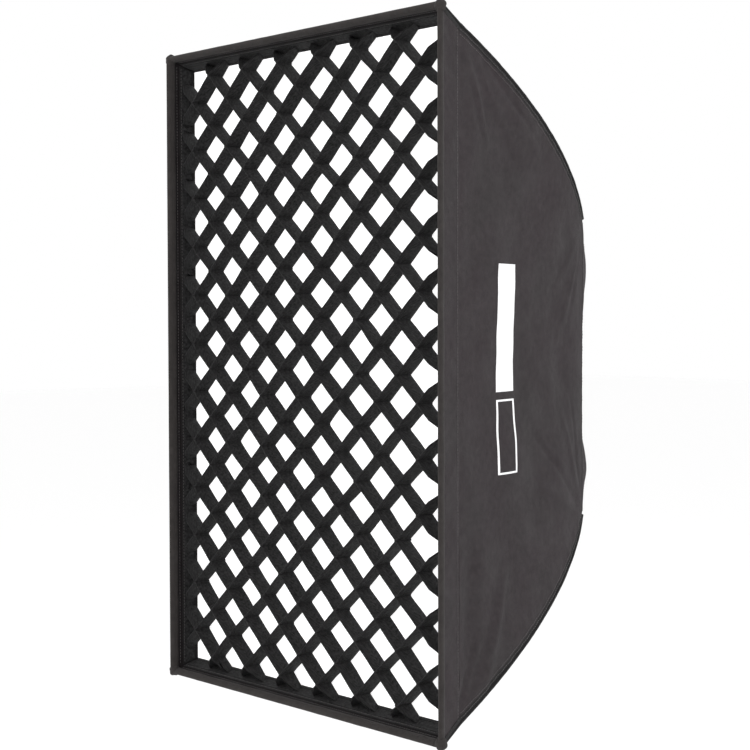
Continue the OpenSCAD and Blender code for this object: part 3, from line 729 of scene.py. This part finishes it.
for number, corner in enumerate(CORNERS):
    line = seam_line(FOLD_S, SEAM_END, SEAM_N, -0.5 * MM)
    line = line + unit(line) * 0.35 * MM * ripples(line, 0.03, 70 + number)[:, None]
    size = PIPE_R * (1 + 0.05 * ripples(line, 0.012, 80 + number))
    piping.add(*tube_data(mirrored(line, corner), size, 14))
for side in SIDES:
    for end in (-1, 1):
        s = np.linspace(TAPE_FROM, SEAM_END, SEAM_N)
        half = half_length(side, s)
        l = end * (half[:, None] - 1.0 * MM - TAPE_W * TAPE_ACROSS)
        add_tape(shell(side, s[:, None], l, TAPE_RISE), end)
        stitch_shell(stitches, side, s, end * (half - TAPE_ROW), TAPE_T)
        stitch_shell(stitches, side, s, end * (half - CLOTH_ROW), 0.0)
LIP_PIPE_FROM = 6 * MM
front_in = LEAN * LIP_PIPE_FROM + 0.2 * MM
for number, corner in enumerate(CORNERS):
    t = np.linspace(0, 1, 26)[:, None]
    rear = seam_point(SEAM_END, -0.5 * MM)
    front = np.array([HALF_W - front_in, FRONT_Y + LIP_PIPE_FROM, HALF_H - front_in])
    line = rear + (front - rear) * t
    line = line + unit(line) * 0.3 * MM * ripples(line, 0.02, 90 + number)[:, None]
    piping.add(*tube_data(mirrored(line, corner), 1.9 * MM * (1 - 0.25 * t[:, 0]), 12))
for side in SIDES:
    for end in (-1, 1):
        d = np.linspace(7 * MM, LIP_DEPTH + 0.3 * MM, 26)[::-1]
        l = end * (lip_half(side, d)[:, None] - 0.8 * MM - TAPE_W * TAPE_ACROSS)
        add_tape(lip(side, d[:, None], l, -TAPE_RISE - 0.1 * MM), end)
finish(piping.piece("corner_piping", WEBBING), "softbox", ("seam_piping",))
finish(tape.piece("seam_tape", WEBBING), "softbox")

# ---- lip: outer cloth, inner cloth, rolled hem, corner knots ----
LIP_T = 3 * MM
LIP_ROWS, LIP_COLS = 20, 200


def lip_grid(side, d_from, d_to, nu, nv, inside, gap, wave=0.0, seed=0):
    d = np.linspace(d_from, d_to, nu)[::-1]
    l = spaced(nv, 0.4)[None, :] * (lip_half(side, d) - gap)[:, None]
    flat = lip(side, d[:, None], l, inside)
    if not wave:
        return flat
    p = joined(d[:, None], l, seed)
    mid = np.sin(math.pi * np.linspace(0, 1, nu))[:, None]
    bulge = wave * mid * (ripples(p, 0.11, seed) + 0.6 * ripples(p, 0.03, seed + 1))
    pucker = 0.35 * wave * np.sin(2 * math.pi * l / 0.022 + 2 * ripples(p, 0.08, seed + 2))
    root = np.exp(-((LIP_DEPTH - d) / 0.010))[:, None] * smooth((LIP_DEPTH - d) / 0.004)[:, None]
    groove = 0.6 * MM * np.exp(-(((LIP_DEPTH - d) / 0.006) ** 2))[:, None]
    return lip(side, d[:, None], l, inside - bulge - pucker * root + groove)


for number, side in enumerate(SIDES):
    wide = 2 * lip_half(side, 0)
    area = 2 * LIP_DEPTH * SLOPE * lip_half(side, LIP_DEPTH / 2)
    flat = (LIP_DEPTH * SLOPE, wide)
    outer = lip_grid(side, 1.6 * MM, LIP_DEPTH, LIP_ROWS, LIP_COLS, -0.15 * MM, 0.3 * MM,
                     wave=1.0 * MM, seed=120 + 7 * number)
    face = cloth_sheet("lip_outside_" + side, outer, CLOTH, OXFORD, 3 * MM)
    finish(face, "softbox", ("lip_" + side,))
    inner = lip_grid(side, 8 * MM, LIP_DEPTH - 1 * MM, LIP_ROWS, LIP_COLS, 1.9 * MM, 2.4 * MM,
                     wave=0.25 * MM, seed=150 + 7 * number)
    back = cloth_sheet("lip_inside_" + side, inner, CLOTH, LIP_CLOTH)
    finish(back, "softbox")
    stitch_lip(stitches, side, LIP_DEPTH - 5 * MM, -0.1 * MM, 4 * MM)
    stitch_lip(stitches, side, 14.5 * MM, LIP_T - 0.1 * MM, 8 * MM, -1)

# Half the hem's depth and half its thickness, and where its path runs
HEM_DEEP, HEM_THICK = 5.7 * MM, 3.9 * MM
HEM_R = 4 * MM
CORNER_R = 7 * MM


def hem_loop(step=3.2 * MM):
    """The front edge as a closed path with round corners: points, and the way outwards at each."""
    w, h = HALF_W - HEM_R - CORNER_R, HALF_H - HEM_R - CORNER_R
    arcs = []
    for number, (sx, sz) in enumerate(((1, -1), (1, 1), (-1, 1), (-1, -1))):
        a = math.pi / 2 * (number - 1 + np.linspace(0, 1, 6))
        out = np.stack([np.cos(a), np.sin(a)], axis=-1)
        arcs.append((np.array([sx * w, sz * h]) + CORNER_R * out, out))
    points, ways = [], []
    for number, (arc, out) in enumerate(arcs):
        start, stop = arc[-1], arcs[(number + 1) % 4][0][0]
        t = np.linspace(0, 1, int(np.linalg.norm(stop - start) / step) + 1)[1:-1, None]
        points += [arc, (1 - t) * start + t * stop]
        ways += [out, np.repeat(out[-1:], len(t), axis=0)]
    return np.concatenate(points), -np.concatenate(ways)


loop, inward = hem_loop()
n = len(loop)
HEM_SIDES = 16
turn = np.linspace(0, 2 * math.pi, HEM_SIDES, endpoint=False)
spot = joined(loop[:, 0], 0.0, loop[:, 1])
swell = 1 + 0.035 * ripples(spot, 0.02, 201) + 0.04 * ripples(spot, 0.07, 202)
deep = HEM_DEEP * (1 + np.sin(turn))
thick = HEM_THICK * np.cos(turn)
hem_in = thick[None, :] * swell[:, None] + LEAN * 0.75 * (deep - 4 * MM)[None, :]
hem = np.zeros((n, HEM_SIDES, 3))
hem[..., 0] = loop[:, None, 0] + inward[:, None, 0] * hem_in
hem[..., 2] = loop[:, None, 1] + inward[:, None, 1] * hem_in
hem[..., 1] = FRONT_Y + deep[None, :] * (0.5 + 0.5 * swell[:, None])
hem_faces = [f[::-1] for f in ring_faces(n, HEM_SIDES, closed=True)]
hem_uv = joined(run_of(spot)[:, None], turn[None, :] * 4.5 * MM).reshape(-1, 2)
hem_edge = np.broadcast_to(0.6 * np.clip(-np.sin(turn), 0, 1)[None, :], (n, HEM_SIDES))
hem_roll = add_piece("hem_roll", hem.reshape(-1, 3), hem_faces, hem_uv, HEM_CLOTH, hem_edge, 80)
finish(hem_roll, "softbox", ("front_hem",))

knots = Parts()
KNOT_RINGS, KNOT_SIDES = 14, 24
KNOT_SIZE = np.array([8.2, 7.0, 8.2])
KNOT_IN, KNOT_BACK = 5.0 * MM, 5.6 * MM
a = np.linspace(0.15, math.pi - 0.15, KNOT_RINGS)[:, None]
b = np.linspace(0, 2 * math.pi, KNOT_SIDES, endpoint=False)[None, :]
ball = joined(np.sin(a) * np.cos(b), np.cos(a), np.sin(a) * np.sin(b))
ball_uv = joined(a * 6 * MM, b * 6 * MM)
for number, (sx, sz) in enumerate(CORNERS):
    fold = 1 + 0.05 * np.sin(5 * b + 2 * number) * np.sin(a) + 0.07 * ripples(ball, 0.9, 230 + number)
    body = ball * KNOT_SIZE * MM * fold[..., None]
    mid = np.array([sx * (HALF_W - KNOT_IN), FRONT_Y + KNOT_BACK, sz * (HALF_H - KNOT_IN)])
    knots.add(mid + body, ring_faces(KNOT_RINGS, KNOT_SIDES), ball_uv, 0.5 * np.ones(ball.shape[:2]))
finish(knots.piece("hem_knots", HEM_CLOTH, 80), "softbox", ("hem_ears",))

# ---- hook-and-loop band, front diffuser, grid ----
BAND_OUT = LIP_T + 0.1 * MM
BAND_T = 1.0 * MM
BAND_FROM = 18 * MM
EDGING_T = 1.2 * MM
SHEET_T = 0.6 * MM
LAYER_GAP = 0.25 * MM


def lip_strips(d_from, d_to, inside, thick, gap, rows, cols, wave=0.0, seed=300):
    """A strip on the inside of each of the lip's four sides, as one mesh."""
    parts = Parts()
    for number, side in enumerate(SIDES):
        grid = lip_grid(side, d_from, d_to, rows, cols, inside, gap, wave, seed + 9 * number)
        parts.add(*sheet_data(grid, thick, 2.5 * MM))
    return parts


band_to = LIP_DEPTH - 1.4 * MM
band = lip_strips(BAND_FROM, band_to, BAND_OUT, BAND_T, 5 * MM, 10, 150, 0.12 * MM)
band = band.piece("loop_band", VELVET)
finish(band, "softbox", ("loop_bands",))
for side in SIDES:
    stitch_lip(stitches, side, BAND_FROM + 2 * MM, BAND_OUT + BAND_T + 0.05 * MM, 8 * MM, -1)
finish(stitches.piece("shell_stitches", THREAD, 80), "softbox")

border_in = BAND_OUT + BAND_T + LAYER_GAP
DIFFUSER_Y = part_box("diffuser_sheet")[0][1]
diffuser_d = DIFFUSER_Y - FRONT_Y
edge_from, edge_to = diffuser_d - 1 * MM, LIP_DEPTH - 2.2 * MM
edging = lip_strips(edge_from, edge_to, border_in, EDGING_T, 7 * MM, 6, 120).piece("diffuser_edge", VELVET)
finish(edging, "front_diffuser", ("diffuser_border",))


def flat_cloth(half_w, half_h, y, nu, nv, sag, seed, waist=0.0):
    """A flat sheet across the axis, slack in the middle, creased from its corners, with hollow edges."""
    x = spaced(nu, 0.3)[:, None]
    z = spaced(nv, 0.3)[None, :]
    w = half_w * (1 - waist / half_w * (1 - z * z))
    h = half_h * (1 - waist / half_h * (1 - x * x))
    px, pz = np.broadcast_arrays(x * w, z * h)
    p = joined(px, 0.0, pz)
    free = smooth((1 - np.abs(x)) * 5) * smooth((1 - np.abs(z)) * 5)
    off = sag * (1 - x * x) * (1 - z * z) + 0.25 * sag * free * ripples(p, 0.2, seed)
    for sx, sz in CORNERS:
        away = np.hypot(px - sx * half_w, pz - sz * half_h)
        angle = np.arctan2(np.abs(pz - sz * half_h), np.abs(px - sx * half_w) + 1e-6)
        rays = np.sin(9 * angle + sx + 2 * sz) * smooth(away / 0.03) * np.exp(-away / 0.11)
        off = off + 0.22 * sag * rays * smooth((1 - np.abs(x)) * 9) * smooth((1 - np.abs(z)) * 9)
    p[..., 1] = y + off
    return p


low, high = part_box("diffuser_sheet")
grid = flat_cloth(high[0] - 0.3 * MM, high[2] - 0.3 * MM, low[1], 90, 130, 2.6 * MM, 330)
# The front sheet takes the glowing diffuser cloth, which is painted light.
diffuser = cloth_sheet("diffuser_cloth_front", grid, SHEET_T, GLOWING_DIFFUSER)
finish(diffuser, "front_diffuser", ("diffuser_sheet",))
seam = Parts()
for sx, sz in EDGES:
    t = np.linspace(-1, 1, 160)
    x = sx * (high[0] - 4 * MM) + (sx == 0) * t * (high[0] - 7 * MM)
    z = sz * (high[2] - 4 * MM) + (sz == 0) * t * (high[2] - 7 * MM)
    stitch_row(seam, joined(x + 0 * t, low[1], z), FORWARD)
finish(seam.piece("diffuser_stitches", PALE_THREAD, 80), "front_diffuser")

# The grid: crossed strips of folded cloth, sewn to a flared border
CELL_W = 82 * MM
CELL_H = 69 * MM
GRID_T = 1.9 * MM
# How far the front edges of the strips stop short of the lip
GRID_SHORT = 17 * MM
STRIP_STEP = 4.5 * MM
SHORTEST = 0.03
JOIN_R = 2.3 * MM
low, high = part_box("grid_lattice")
GRID_FROM, GRID_TO = low[1] - FRONT_Y, high[1] - FRONT_Y
GRID_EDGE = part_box("grid_border")[0][1] - FRONT_Y
border = lip_strips(GRID_EDGE, GRID_TO, border_in, EDGING_T, 7 * MM, 8, 150, 0.15 * MM, 360)
border = border.piece("grid_edge", GRID_CLOTH)
finish(border, "grid", ("grid_border",))



def grid_half(d):
    """Half the width and height inside the grid's border at a depth."""
    flare = LEAN * (GRID_TO - max(d, GRID_EDGE)) - 0.4 * MM
    short = GRID_SHORT * max(0.0, GRID_EDGE - d) / (GRID_EDGE - GRID_FROM)
    return high[0] + flare - short, high[2] + flare - short


def inside_run(start, way, half):
    """Where a line enters and leaves a rectangle, as lengths along the line."""
    enter, leave = -9.0, 9.0
    for i in (0, 1):
        a, b = sorted(((-half[i] - start[i]) / way[i], (half[i] - start[i]) / way[i]))
        enter, leave = max(enter, a), min(leave, b)
    return enter, leave


# A strip's section: how far each of its corners lies to the side and along the depth, as shares
SECTION = ((-1, 0.03), (-0.55, 0.0), (0.55, 0.0), (1, 0.03), (1, 0.3), (1, 0.56), (1, 0.97), (0.55, 1.0),
           (-0.55, 1.0), (-1, 0.97), (-1, 0.56), (-1, 0.3))
ribbons = Parts()
joins = Parts()
diagonal = math.hypot(CELL_W, CELL_H)
for family in (1, -1):
    way = np.array([CELL_W, -family * CELL_H]) / diagonal
    across = np.array([-way[1], way[0]])
    many = int(HALF_W / CELL_W * 2 + HALF_H / CELL_H * 2) + 2
    for k in range(-many, many):
        start = np.array([(k + 0.5) * CELL_W, 0.0])
        full = inside_run(start, way, grid_half(GRID_TO))
        if full[1] - full[0] < SHORTEST:
            continue
        steps = max(4, int((full[1] - full[0]) / STRIP_STEP))
        rings = np.zeros((steps + 1, len(SECTION), 3))
        for number, (aside, share) in enumerate(SECTION):
            d = GRID_FROM + (GRID_TO - GRID_FROM) * share
            enter, leave = inside_run(start, way, grid_half(d))
            t = enter + (leave - enter) * np.linspace(0, 1, steps + 1)
            p = joined(t, 0.0, family * (k + 40))
            ends = smooth((t - full[0]) / 0.03) * smooth((full[1] - t) / 0.03)
            bow = 1.1 * MM * ripples(p, 0.10, 401) + 0.25 * MM * ripples(p, 0.03, 402)
            lean = 1.5 * MM * (0.5 - share) * ripples(p, 0.16, 403)
            off = ends * (bow + lean) + aside * GRID_T / 2
            flat = start + t[:, None] * way + off[:, None] * across
            rings[:, number] = joined(flat[:, 0], FRONT_Y + d, flat[:, 1])
        t = np.linspace(0, full[1] - full[0], steps + 1)
        girth = np.array([share for _, share in SECTION]) * (GRID_TO - GRID_FROM)
        ribbons.add(rings, ring_faces(steps + 1, len(SECTION)), joined(t[:, None], girth))
lattice = ribbons.piece("grid_ribbons", GRID_CLOTH, 60)
finish(lattice, "grid", ("grid_lattice",))
columns, rows = int(HALF_W / CELL_W * 2) + 1, int(HALF_H / CELL_H * 2) + 1
for i in range(-columns, columns + 1):
    for j in range(-rows, rows + 1):
        x, z = i * CELL_W / 2, j * CELL_H / 2
        if (i + j) % 2 and abs(x) < high[0] - 2 * MM and abs(z) < high[2] - 2 * MM:
            y = np.linspace(GRID_FROM + 0.4 * MM, GRID_TO - 0.4 * MM, 7) + FRONT_Y
            seed = 500 + 31 * i + j
            path = joined(x, y, z)
            path = path + 0.3 * MM * joined(ripples(path, 0.02, seed), 0.0, ripples(path, 0.02, seed + 1))
            joins.add(*tube_data(path, JOIN_R, 8))
finish(joins.piece("grid_joins", GRID_CLOTH, 60), "grid")

# ---- rear flaps ----
NOTCH_HALF, NOTCH_TO = 14 * MM, 112 * MM
BINDING_R = 1.1 * MM
# Where the binding ends and a flap's stitches run, as shares of the way to the fold and of its width
RIM_TO, RIM_V = 0.985, 0.996
ROW_V, ROW_NEAR, ROW_FAR = 0.93, 0.06, 0.955
FLAP_BODIES = {"right": "flap_right", "top": "flap_upper", "left": "flap_left", "bottom": "flap_lower"}


def flap_inner(side, v):
    """Where a flap begins, as the distance from the axis, on the ray at v across it."""
    k, kl = shares(side)
    begin = FLAP_BORE / np.sqrt(1 + (v * kl / k) ** 2)
    if side != "bottom":
        return begin
    edge = NOTCH_HALF / NOTCH_TO * k / kl
    return begin + (NOTCH_TO - begin) * smooth((edge * 1.12 - np.abs(v)) / (edge * 0.24))


def flap_points(side, share, v, out=0.0):
    """Points on a flap: share runs from its inner edge to the fold, and v across it."""
    k, kl = shares(side)
    share, v = np.broadcast_arrays(share, v)
    begin = flap_inner(side, v)
    a = begin + (k * seam_r(FLAP_S) - begin) * share
    s = (a / k - BEND_R) / SPREAD
    trim = (1.3 * MM) * v
    return shell(side, s, v * kl / k * a - trim, out)


def stitch_flap(parts, side, share, v):
    """A row of stitches on a flap."""
    row = flap_points(side, share, v)
    stitch_row(parts, row, unit(flap_points(side, share, v, 0.01) - row))


for side in SIDES:
    v = spaced(110, 0.35)
    if side == "bottom":
        extra = np.linspace(-0.16, 0.16, 41)
        v = np.unique(np.round(np.concatenate([v, extra]), 6))
    share = np.linspace(1, 0, 46)
    body = FLAP_BODIES[side]
    outer = flap_points(side, share[:, None], v[None, :])[::-1]
    cloth_piece = cloth_sheet("rear_" + body, outer, 1.2 * MM, OXFORD, 5 * MM)
    finish(cloth_piece, body, (body,))
    k, kl = shares(side)
    fold_run = float(run_along(side, FLAP_S))
    wide = 2 * float(half_length(side, FLAP_S))
    area = wide * (fold_run + k * BEND_R) / 2 * 1.12 - math.atan2(kl, k) * FLAP_BORE ** 2
    binding = Parts()
    seam = Parts()
    t = np.linspace(0, 1, 60)
    near = flap_points(side, RIM_TO * t[::-1], -RIM_V, -0.7 * MM)
    far = flap_points(side, RIM_TO * t, RIM_V, -0.7 * MM)
    rim = np.concatenate([near[:-1], flap_points(side, 0.0, v, -0.7 * MM), far[1:]])
    binding.add(*tube_data(rim, BINDING_R, 10))
    for end in (-1, 1):
        stitch_flap(seam, side, t[2:-2], end * ROW_V)
    for share in (ROW_NEAR, ROW_FAR):
        stitch_flap(seam, side, share, v[np.abs(v) < ROW_V])
    finish(binding.piece("binding_" + body, WEBBING, 80), body)
    finish(seam.piece("stitches_" + body, THREAD, 80), body)

welts = Parts()
WELT_S = 0.355
for side in SIDES:
    l = np.linspace(-1, 1, 90) * (half_length(side, WELT_S) - 3.5 * MM)
    line = shell(side, WELT_S, l, -0.4 * MM)
    welts.add(*tube_data(line, 0.75 * MM, 8))
finish(welts.piece("fold_seams", WEBBING, 80), "softbox", ("fold_welts",))

# ---- rods, their pockets and their tips ----
ROD_END = 0.972
SOCKET_LEN = 32 * MM
ROD_NAMES = ("rod_top_right", "rod_top_left", "rod_bottom_right", "rod_bottom_left")
ROD_R, SLEEVE_R, CUP_R = 2.45 * MM, 4.1 * MM, 6.0 * MM
SLEEVE_S = (0.377, 0.925)
root_r = BEND_R - SOCKET_LEN + 2 * MM
root = np.array([root_r * math.cos(CORNER), CROWN_Y - ROD_INSET, root_r * math.sin(CORNER)])
for name, corner in zip(ROD_NAMES, CORNERS):
    line = np.concatenate([[root], seam_line(0, ROD_END, 90, ROD_INSET)])
    rod = Parts()
    rod.add(*tube_data(mirrored(line, corner), ROD_R, 16))
    finish(rod.piece("bent_" + name, ROD_STEEL, 60), "softbox", (name,))

sleeves = Parts()
pockets = Parts()
for number, corner in enumerate(CORNERS):
    line = seam_line(*SLEEVE_S, 110, ROD_INSET - 0.6 * MM)
    uneven = 0.07 * ripples(line, 0.018, 600 + number) + 0.05 * ripples(line, 0.06, 610 + number)
    sleeves.add(*tube_data(mirrored(line, corner), SLEEVE_R * (1 + uneven), 16))
    tip = seam_line(ROD_END - 0.035, ROD_END + 0.024, 20, ROD_INSET - 0.4 * MM)
    t = np.linspace(0, 1, 20)
    size = CUP_R * (0.86 + 0.14 * np.sin(math.pi * t)) * (1 + 0.04 * ripples(tip, 0.01, 620 + number))
    size[-3:] *= np.array([0.93, 0.78, 0.5])
    pockets.add(*tube_data(mirrored(tip, corner), size, 18, flat=0.9))
finish(sleeves.piece("rod_pockets", LIP_CLOTH, 70), "softbox", ("rod_sleeves",))
finish(pockets.piece("tip_cups", WEBBING, 70), "softbox", ("tip_pockets",))

# ---- inner baffle ----
low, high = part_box("baffle_hem")
BAFFLE_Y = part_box("baffle_sheet")[0][1]
WAIST = 5 * MM
hem_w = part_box("baffle_hem")[1][0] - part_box("baffle_sheet")[1][0]
grid = flat_cloth(high[0] - 1 * MM, high[2] - 1 * MM, BAFFLE_Y, 90, 120, 3.5 * MM, 700, WAIST)
baffle = cloth_sheet("inner_baffle_cloth", grid, SHEET_T, BAFFLE)
finish(baffle, "inner_baffle", ("baffle_sheet",))
hem_parts = Parts()
seam = Parts()
t = spaced(120, 0.3)
strip = np.linspace(0, 1, 7)
for sx, sz in EDGES:
    long = high[2] if sx else high[0]
    wide = high[0] if sx else high[2]
    edge = wide - 0.6 * MM - WAIST * (1 - t * t)
    at = edge[None, :] - strip[:, None] * hem_w
    along = t[None, :] * (long - 0.8 * MM - strip[:, None] * hem_w * 0.98)
    y = low[1] + 0.5 * MM - 0.25 * MM * (1 - np.abs(2 * strip[:, None] - 1) ** 4)
    grid = joined(sx * at, y, sx * along) if sx else joined(-sz * along, y, sz * at)
    hem_parts.add(*sheet_data(grid[:, ::-1], 2.0 * MM, 2 * MM))
    for row in (2, 5):
        stitch_row(seam, grid[row], FORWARD)
finish(hem_parts.piece("baffle_hem_cloth", BAFFLE), "inner_baffle", ("baffle_hem",))
finish(seam.piece("baffle_stitches", PALE_THREAD, 80), "inner_baffle")


def strap_data(start, stop, width, y, thick, wave, seed):
    """A flat strap that lies across the axis, out towards the corner between right and top."""
    out = np.array([math.cos(CORNER), 0, math.sin(CORNER)])
    side = np.array([-out[2], 0, out[0]])
    t = np.linspace(0, 1, 24)[:, None]
    w = np.linspace(-1, 1, 7)[None, :]
    grid = (start + (stop - start) * t)[..., None] * out + (w * width / 2)[..., None] * side
    p = joined(t * (stop - start), w * width, 0.0)
    grid[..., 1] = y + wave * ripples(p, 0.03, seed)
    return sheet_data(grid, thick, 1.5 * MM)


def in_corner(data, corner):
    """The same mesh in another corner, with its faces turned where it's mirrored."""
    verts, faces, uv, edge = data
    turned = corner[0] * corner[1] < 0
    return mirrored(verts, corner), [f[::-1] if turned else f for f in faces], uv, edge


reach = math.hypot(*[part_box("baffle_straps")[1][i] for i in (0, 2)])
tab_reach = math.hypot(*[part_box("strap_tabs")[1][i] for i in (0, 2)])
strap_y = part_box("baffle_straps")[0][1] + 0.1 * MM
tab_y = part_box("strap_tabs")[0][1] + 0.1 * MM
STRAP_T = 1.0 * MM
strap = (math.hypot(high[0], high[2]) - 16 * MM, reach - 1.5 * MM, 12 * MM, strap_y, STRAP_T, 0.15 * MM)
tab = (tab_reach - 66 * MM, tab_reach - 1 * MM, 14 * MM, tab_y, STRAP_T, 0.2 * MM)
elastics = Parts()
tabs = Parts()
for number, corner in enumerate(CORNERS):
    elastics.add(*in_corner(strap_data(*strap, 720 + number), corner))
    tabs.add(*in_corner(strap_data(*tab, 740 + number), corner))
finish(elastics.piece("baffle_elastics", WEBBING), "inner_baffle", ("baffle_straps",))
finish(tabs.piece("snap_tabs", WEBBING), "softbox", ("strap_tabs",))

# ---- plain printed mark on the right side ----
# The mark's shares of the way to the lip, and its blocks: top, bottom, and whether only outlined
MARK_S = (0.806, 0.876)
MARK_BLOCKS = ((0.140, -0.024, False), (-0.034, -0.130, True))


def mark_patch(parts, s0, s1, z0, z1):
    s = np.linspace(s0, s1, 14)[:, None]
    l = np.linspace(z0, z1, 60)[None, :]
    parts.add(*sheet_data(shell("right", s, l, 0.28 * MM), 0.2 * MM, 1.5 * MM))


mark = Parts()
# The outline's width, as a share of the way and in metres
MARK_LINE, MARK_RULE = 0.006, 0.0025
for top, bottom, hollow in MARK_BLOCKS:
    if not hollow:
        mark_patch(mark, MARK_S[0], MARK_S[1], bottom, top)
        continue
    for s0, s1 in ((MARK_S[0], MARK_S[0] + MARK_LINE), (MARK_S[1] - MARK_LINE, MARK_S[1])):
        mark_patch(mark, s0, s1, bottom, top)
    for z0, z1 in ((top - MARK_RULE, top), (bottom, bottom + MARK_RULE)):
        mark_patch(mark, MARK_S[0] + MARK_LINE, MARK_S[1] - MARK_LINE, z0, z1)
finish(mark.piece("side_mark", INK), "softbox")

# ---- finishes for the CAD nodes that stay ----
FINISHES = {
    "bayonet_insert": ALUMINIUM,
    "speedring_body": ANODISED,
    "retaining_ring": ALUMINIUM,
    "slip_ring": WHITE_NYLON,
    "retainer_screws": STEEL,
    "rod_sockets": STEEL,
    "socket_screws": STEEL,
    "rod_tips": BLACK_PLASTIC,
    "snap_studs": STEEL,
    "snap_caps": STEEL,
    "brake_pad": WHITE_NYLON,
    "lock_stud": STEEL,
    "lock_knob": BLACK_PLASTIC,
}
BEVEL, BEVEL_FROM = 0.3 * MM, math.radians(50)
for name, material in FINISHES.items():
    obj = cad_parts[name]
    obj.data.materials.clear()
    obj.data.materials.append(material)
    bevel = obj.modifiers.new("soft_edges", "BEVEL")
    bevel.width = BEVEL
    bevel.segments = 2
    bevel.limit_method = "ANGLE"
    bevel.angle_limit = BEVEL_FROM

# ---- stage, light and camera ----
FLOOR_Z = -0.95
bpy.ops.mesh.primitive_plane_add(size=40, location=(0, 0, FLOOR_Z))
floor = bpy.context.object
floor.name = "floor"
pale = Finish("pale_floor", "Object")
floor.data.materials.append(pale.done((0.985, 0.985, 0.985, 1), 0.9))

scene = bpy.context.scene
scene.view_settings.view_transform = "Standard"
world = bpy.data.worlds.new("studio")
world.use_nodes = True
world.node_tree.nodes["Background"].inputs[0].default_value = (1, 1, 1, 1)
world.node_tree.nodes["Background"].inputs[1].default_value = 1.0
scene.world = world


def soft_light(name, at, look, size, power):
    data = bpy.data.lights.new(name, "AREA")
    data.size = size
    data.energy = power
    light = bpy.data.objects.new(name, data)
    light.location = at
    light.rotation_euler = (Vector(look) - Vector(at)).to_track_quat("-Z", "Y").to_euler()
    scene.collection.objects.link(light)


soft_light("key", (2.2, -2.2, 1.3), (0.1, -0.25, 0.0), 1.0, 36)
soft_light("edge", (2.3, 1.6, 1.6), (0.1, -0.25, 0.0), 1.2, 26)
soft_light("fill", (-1.8, -2.4, 1.2), (0.0, -0.3, 0.0), 2.0, 8)

LENS, SENSOR = 85.5, 36
CAMERA_AT = (1.901, -1.895, 0.075)
CAMERA_WAY = (-0.7725, 0.6341, -0.0337)
ROLL = math.radians(-0.15)
camera = bpy.data.objects.new("camera", bpy.data.cameras.new("camera"))
camera.data.lens = LENS
camera.data.sensor_width = SENSOR
camera.location = CAMERA_AT
aim = Vector(CAMERA_WAY).to_track_quat("-Z", "Y").to_matrix()
roll = Matrix.Rotation(ROLL, 3, "Z")
camera.rotation_euler = (aim @ roll).to_euler()
scene.collection.objects.link(camera)
scene.camera = camera
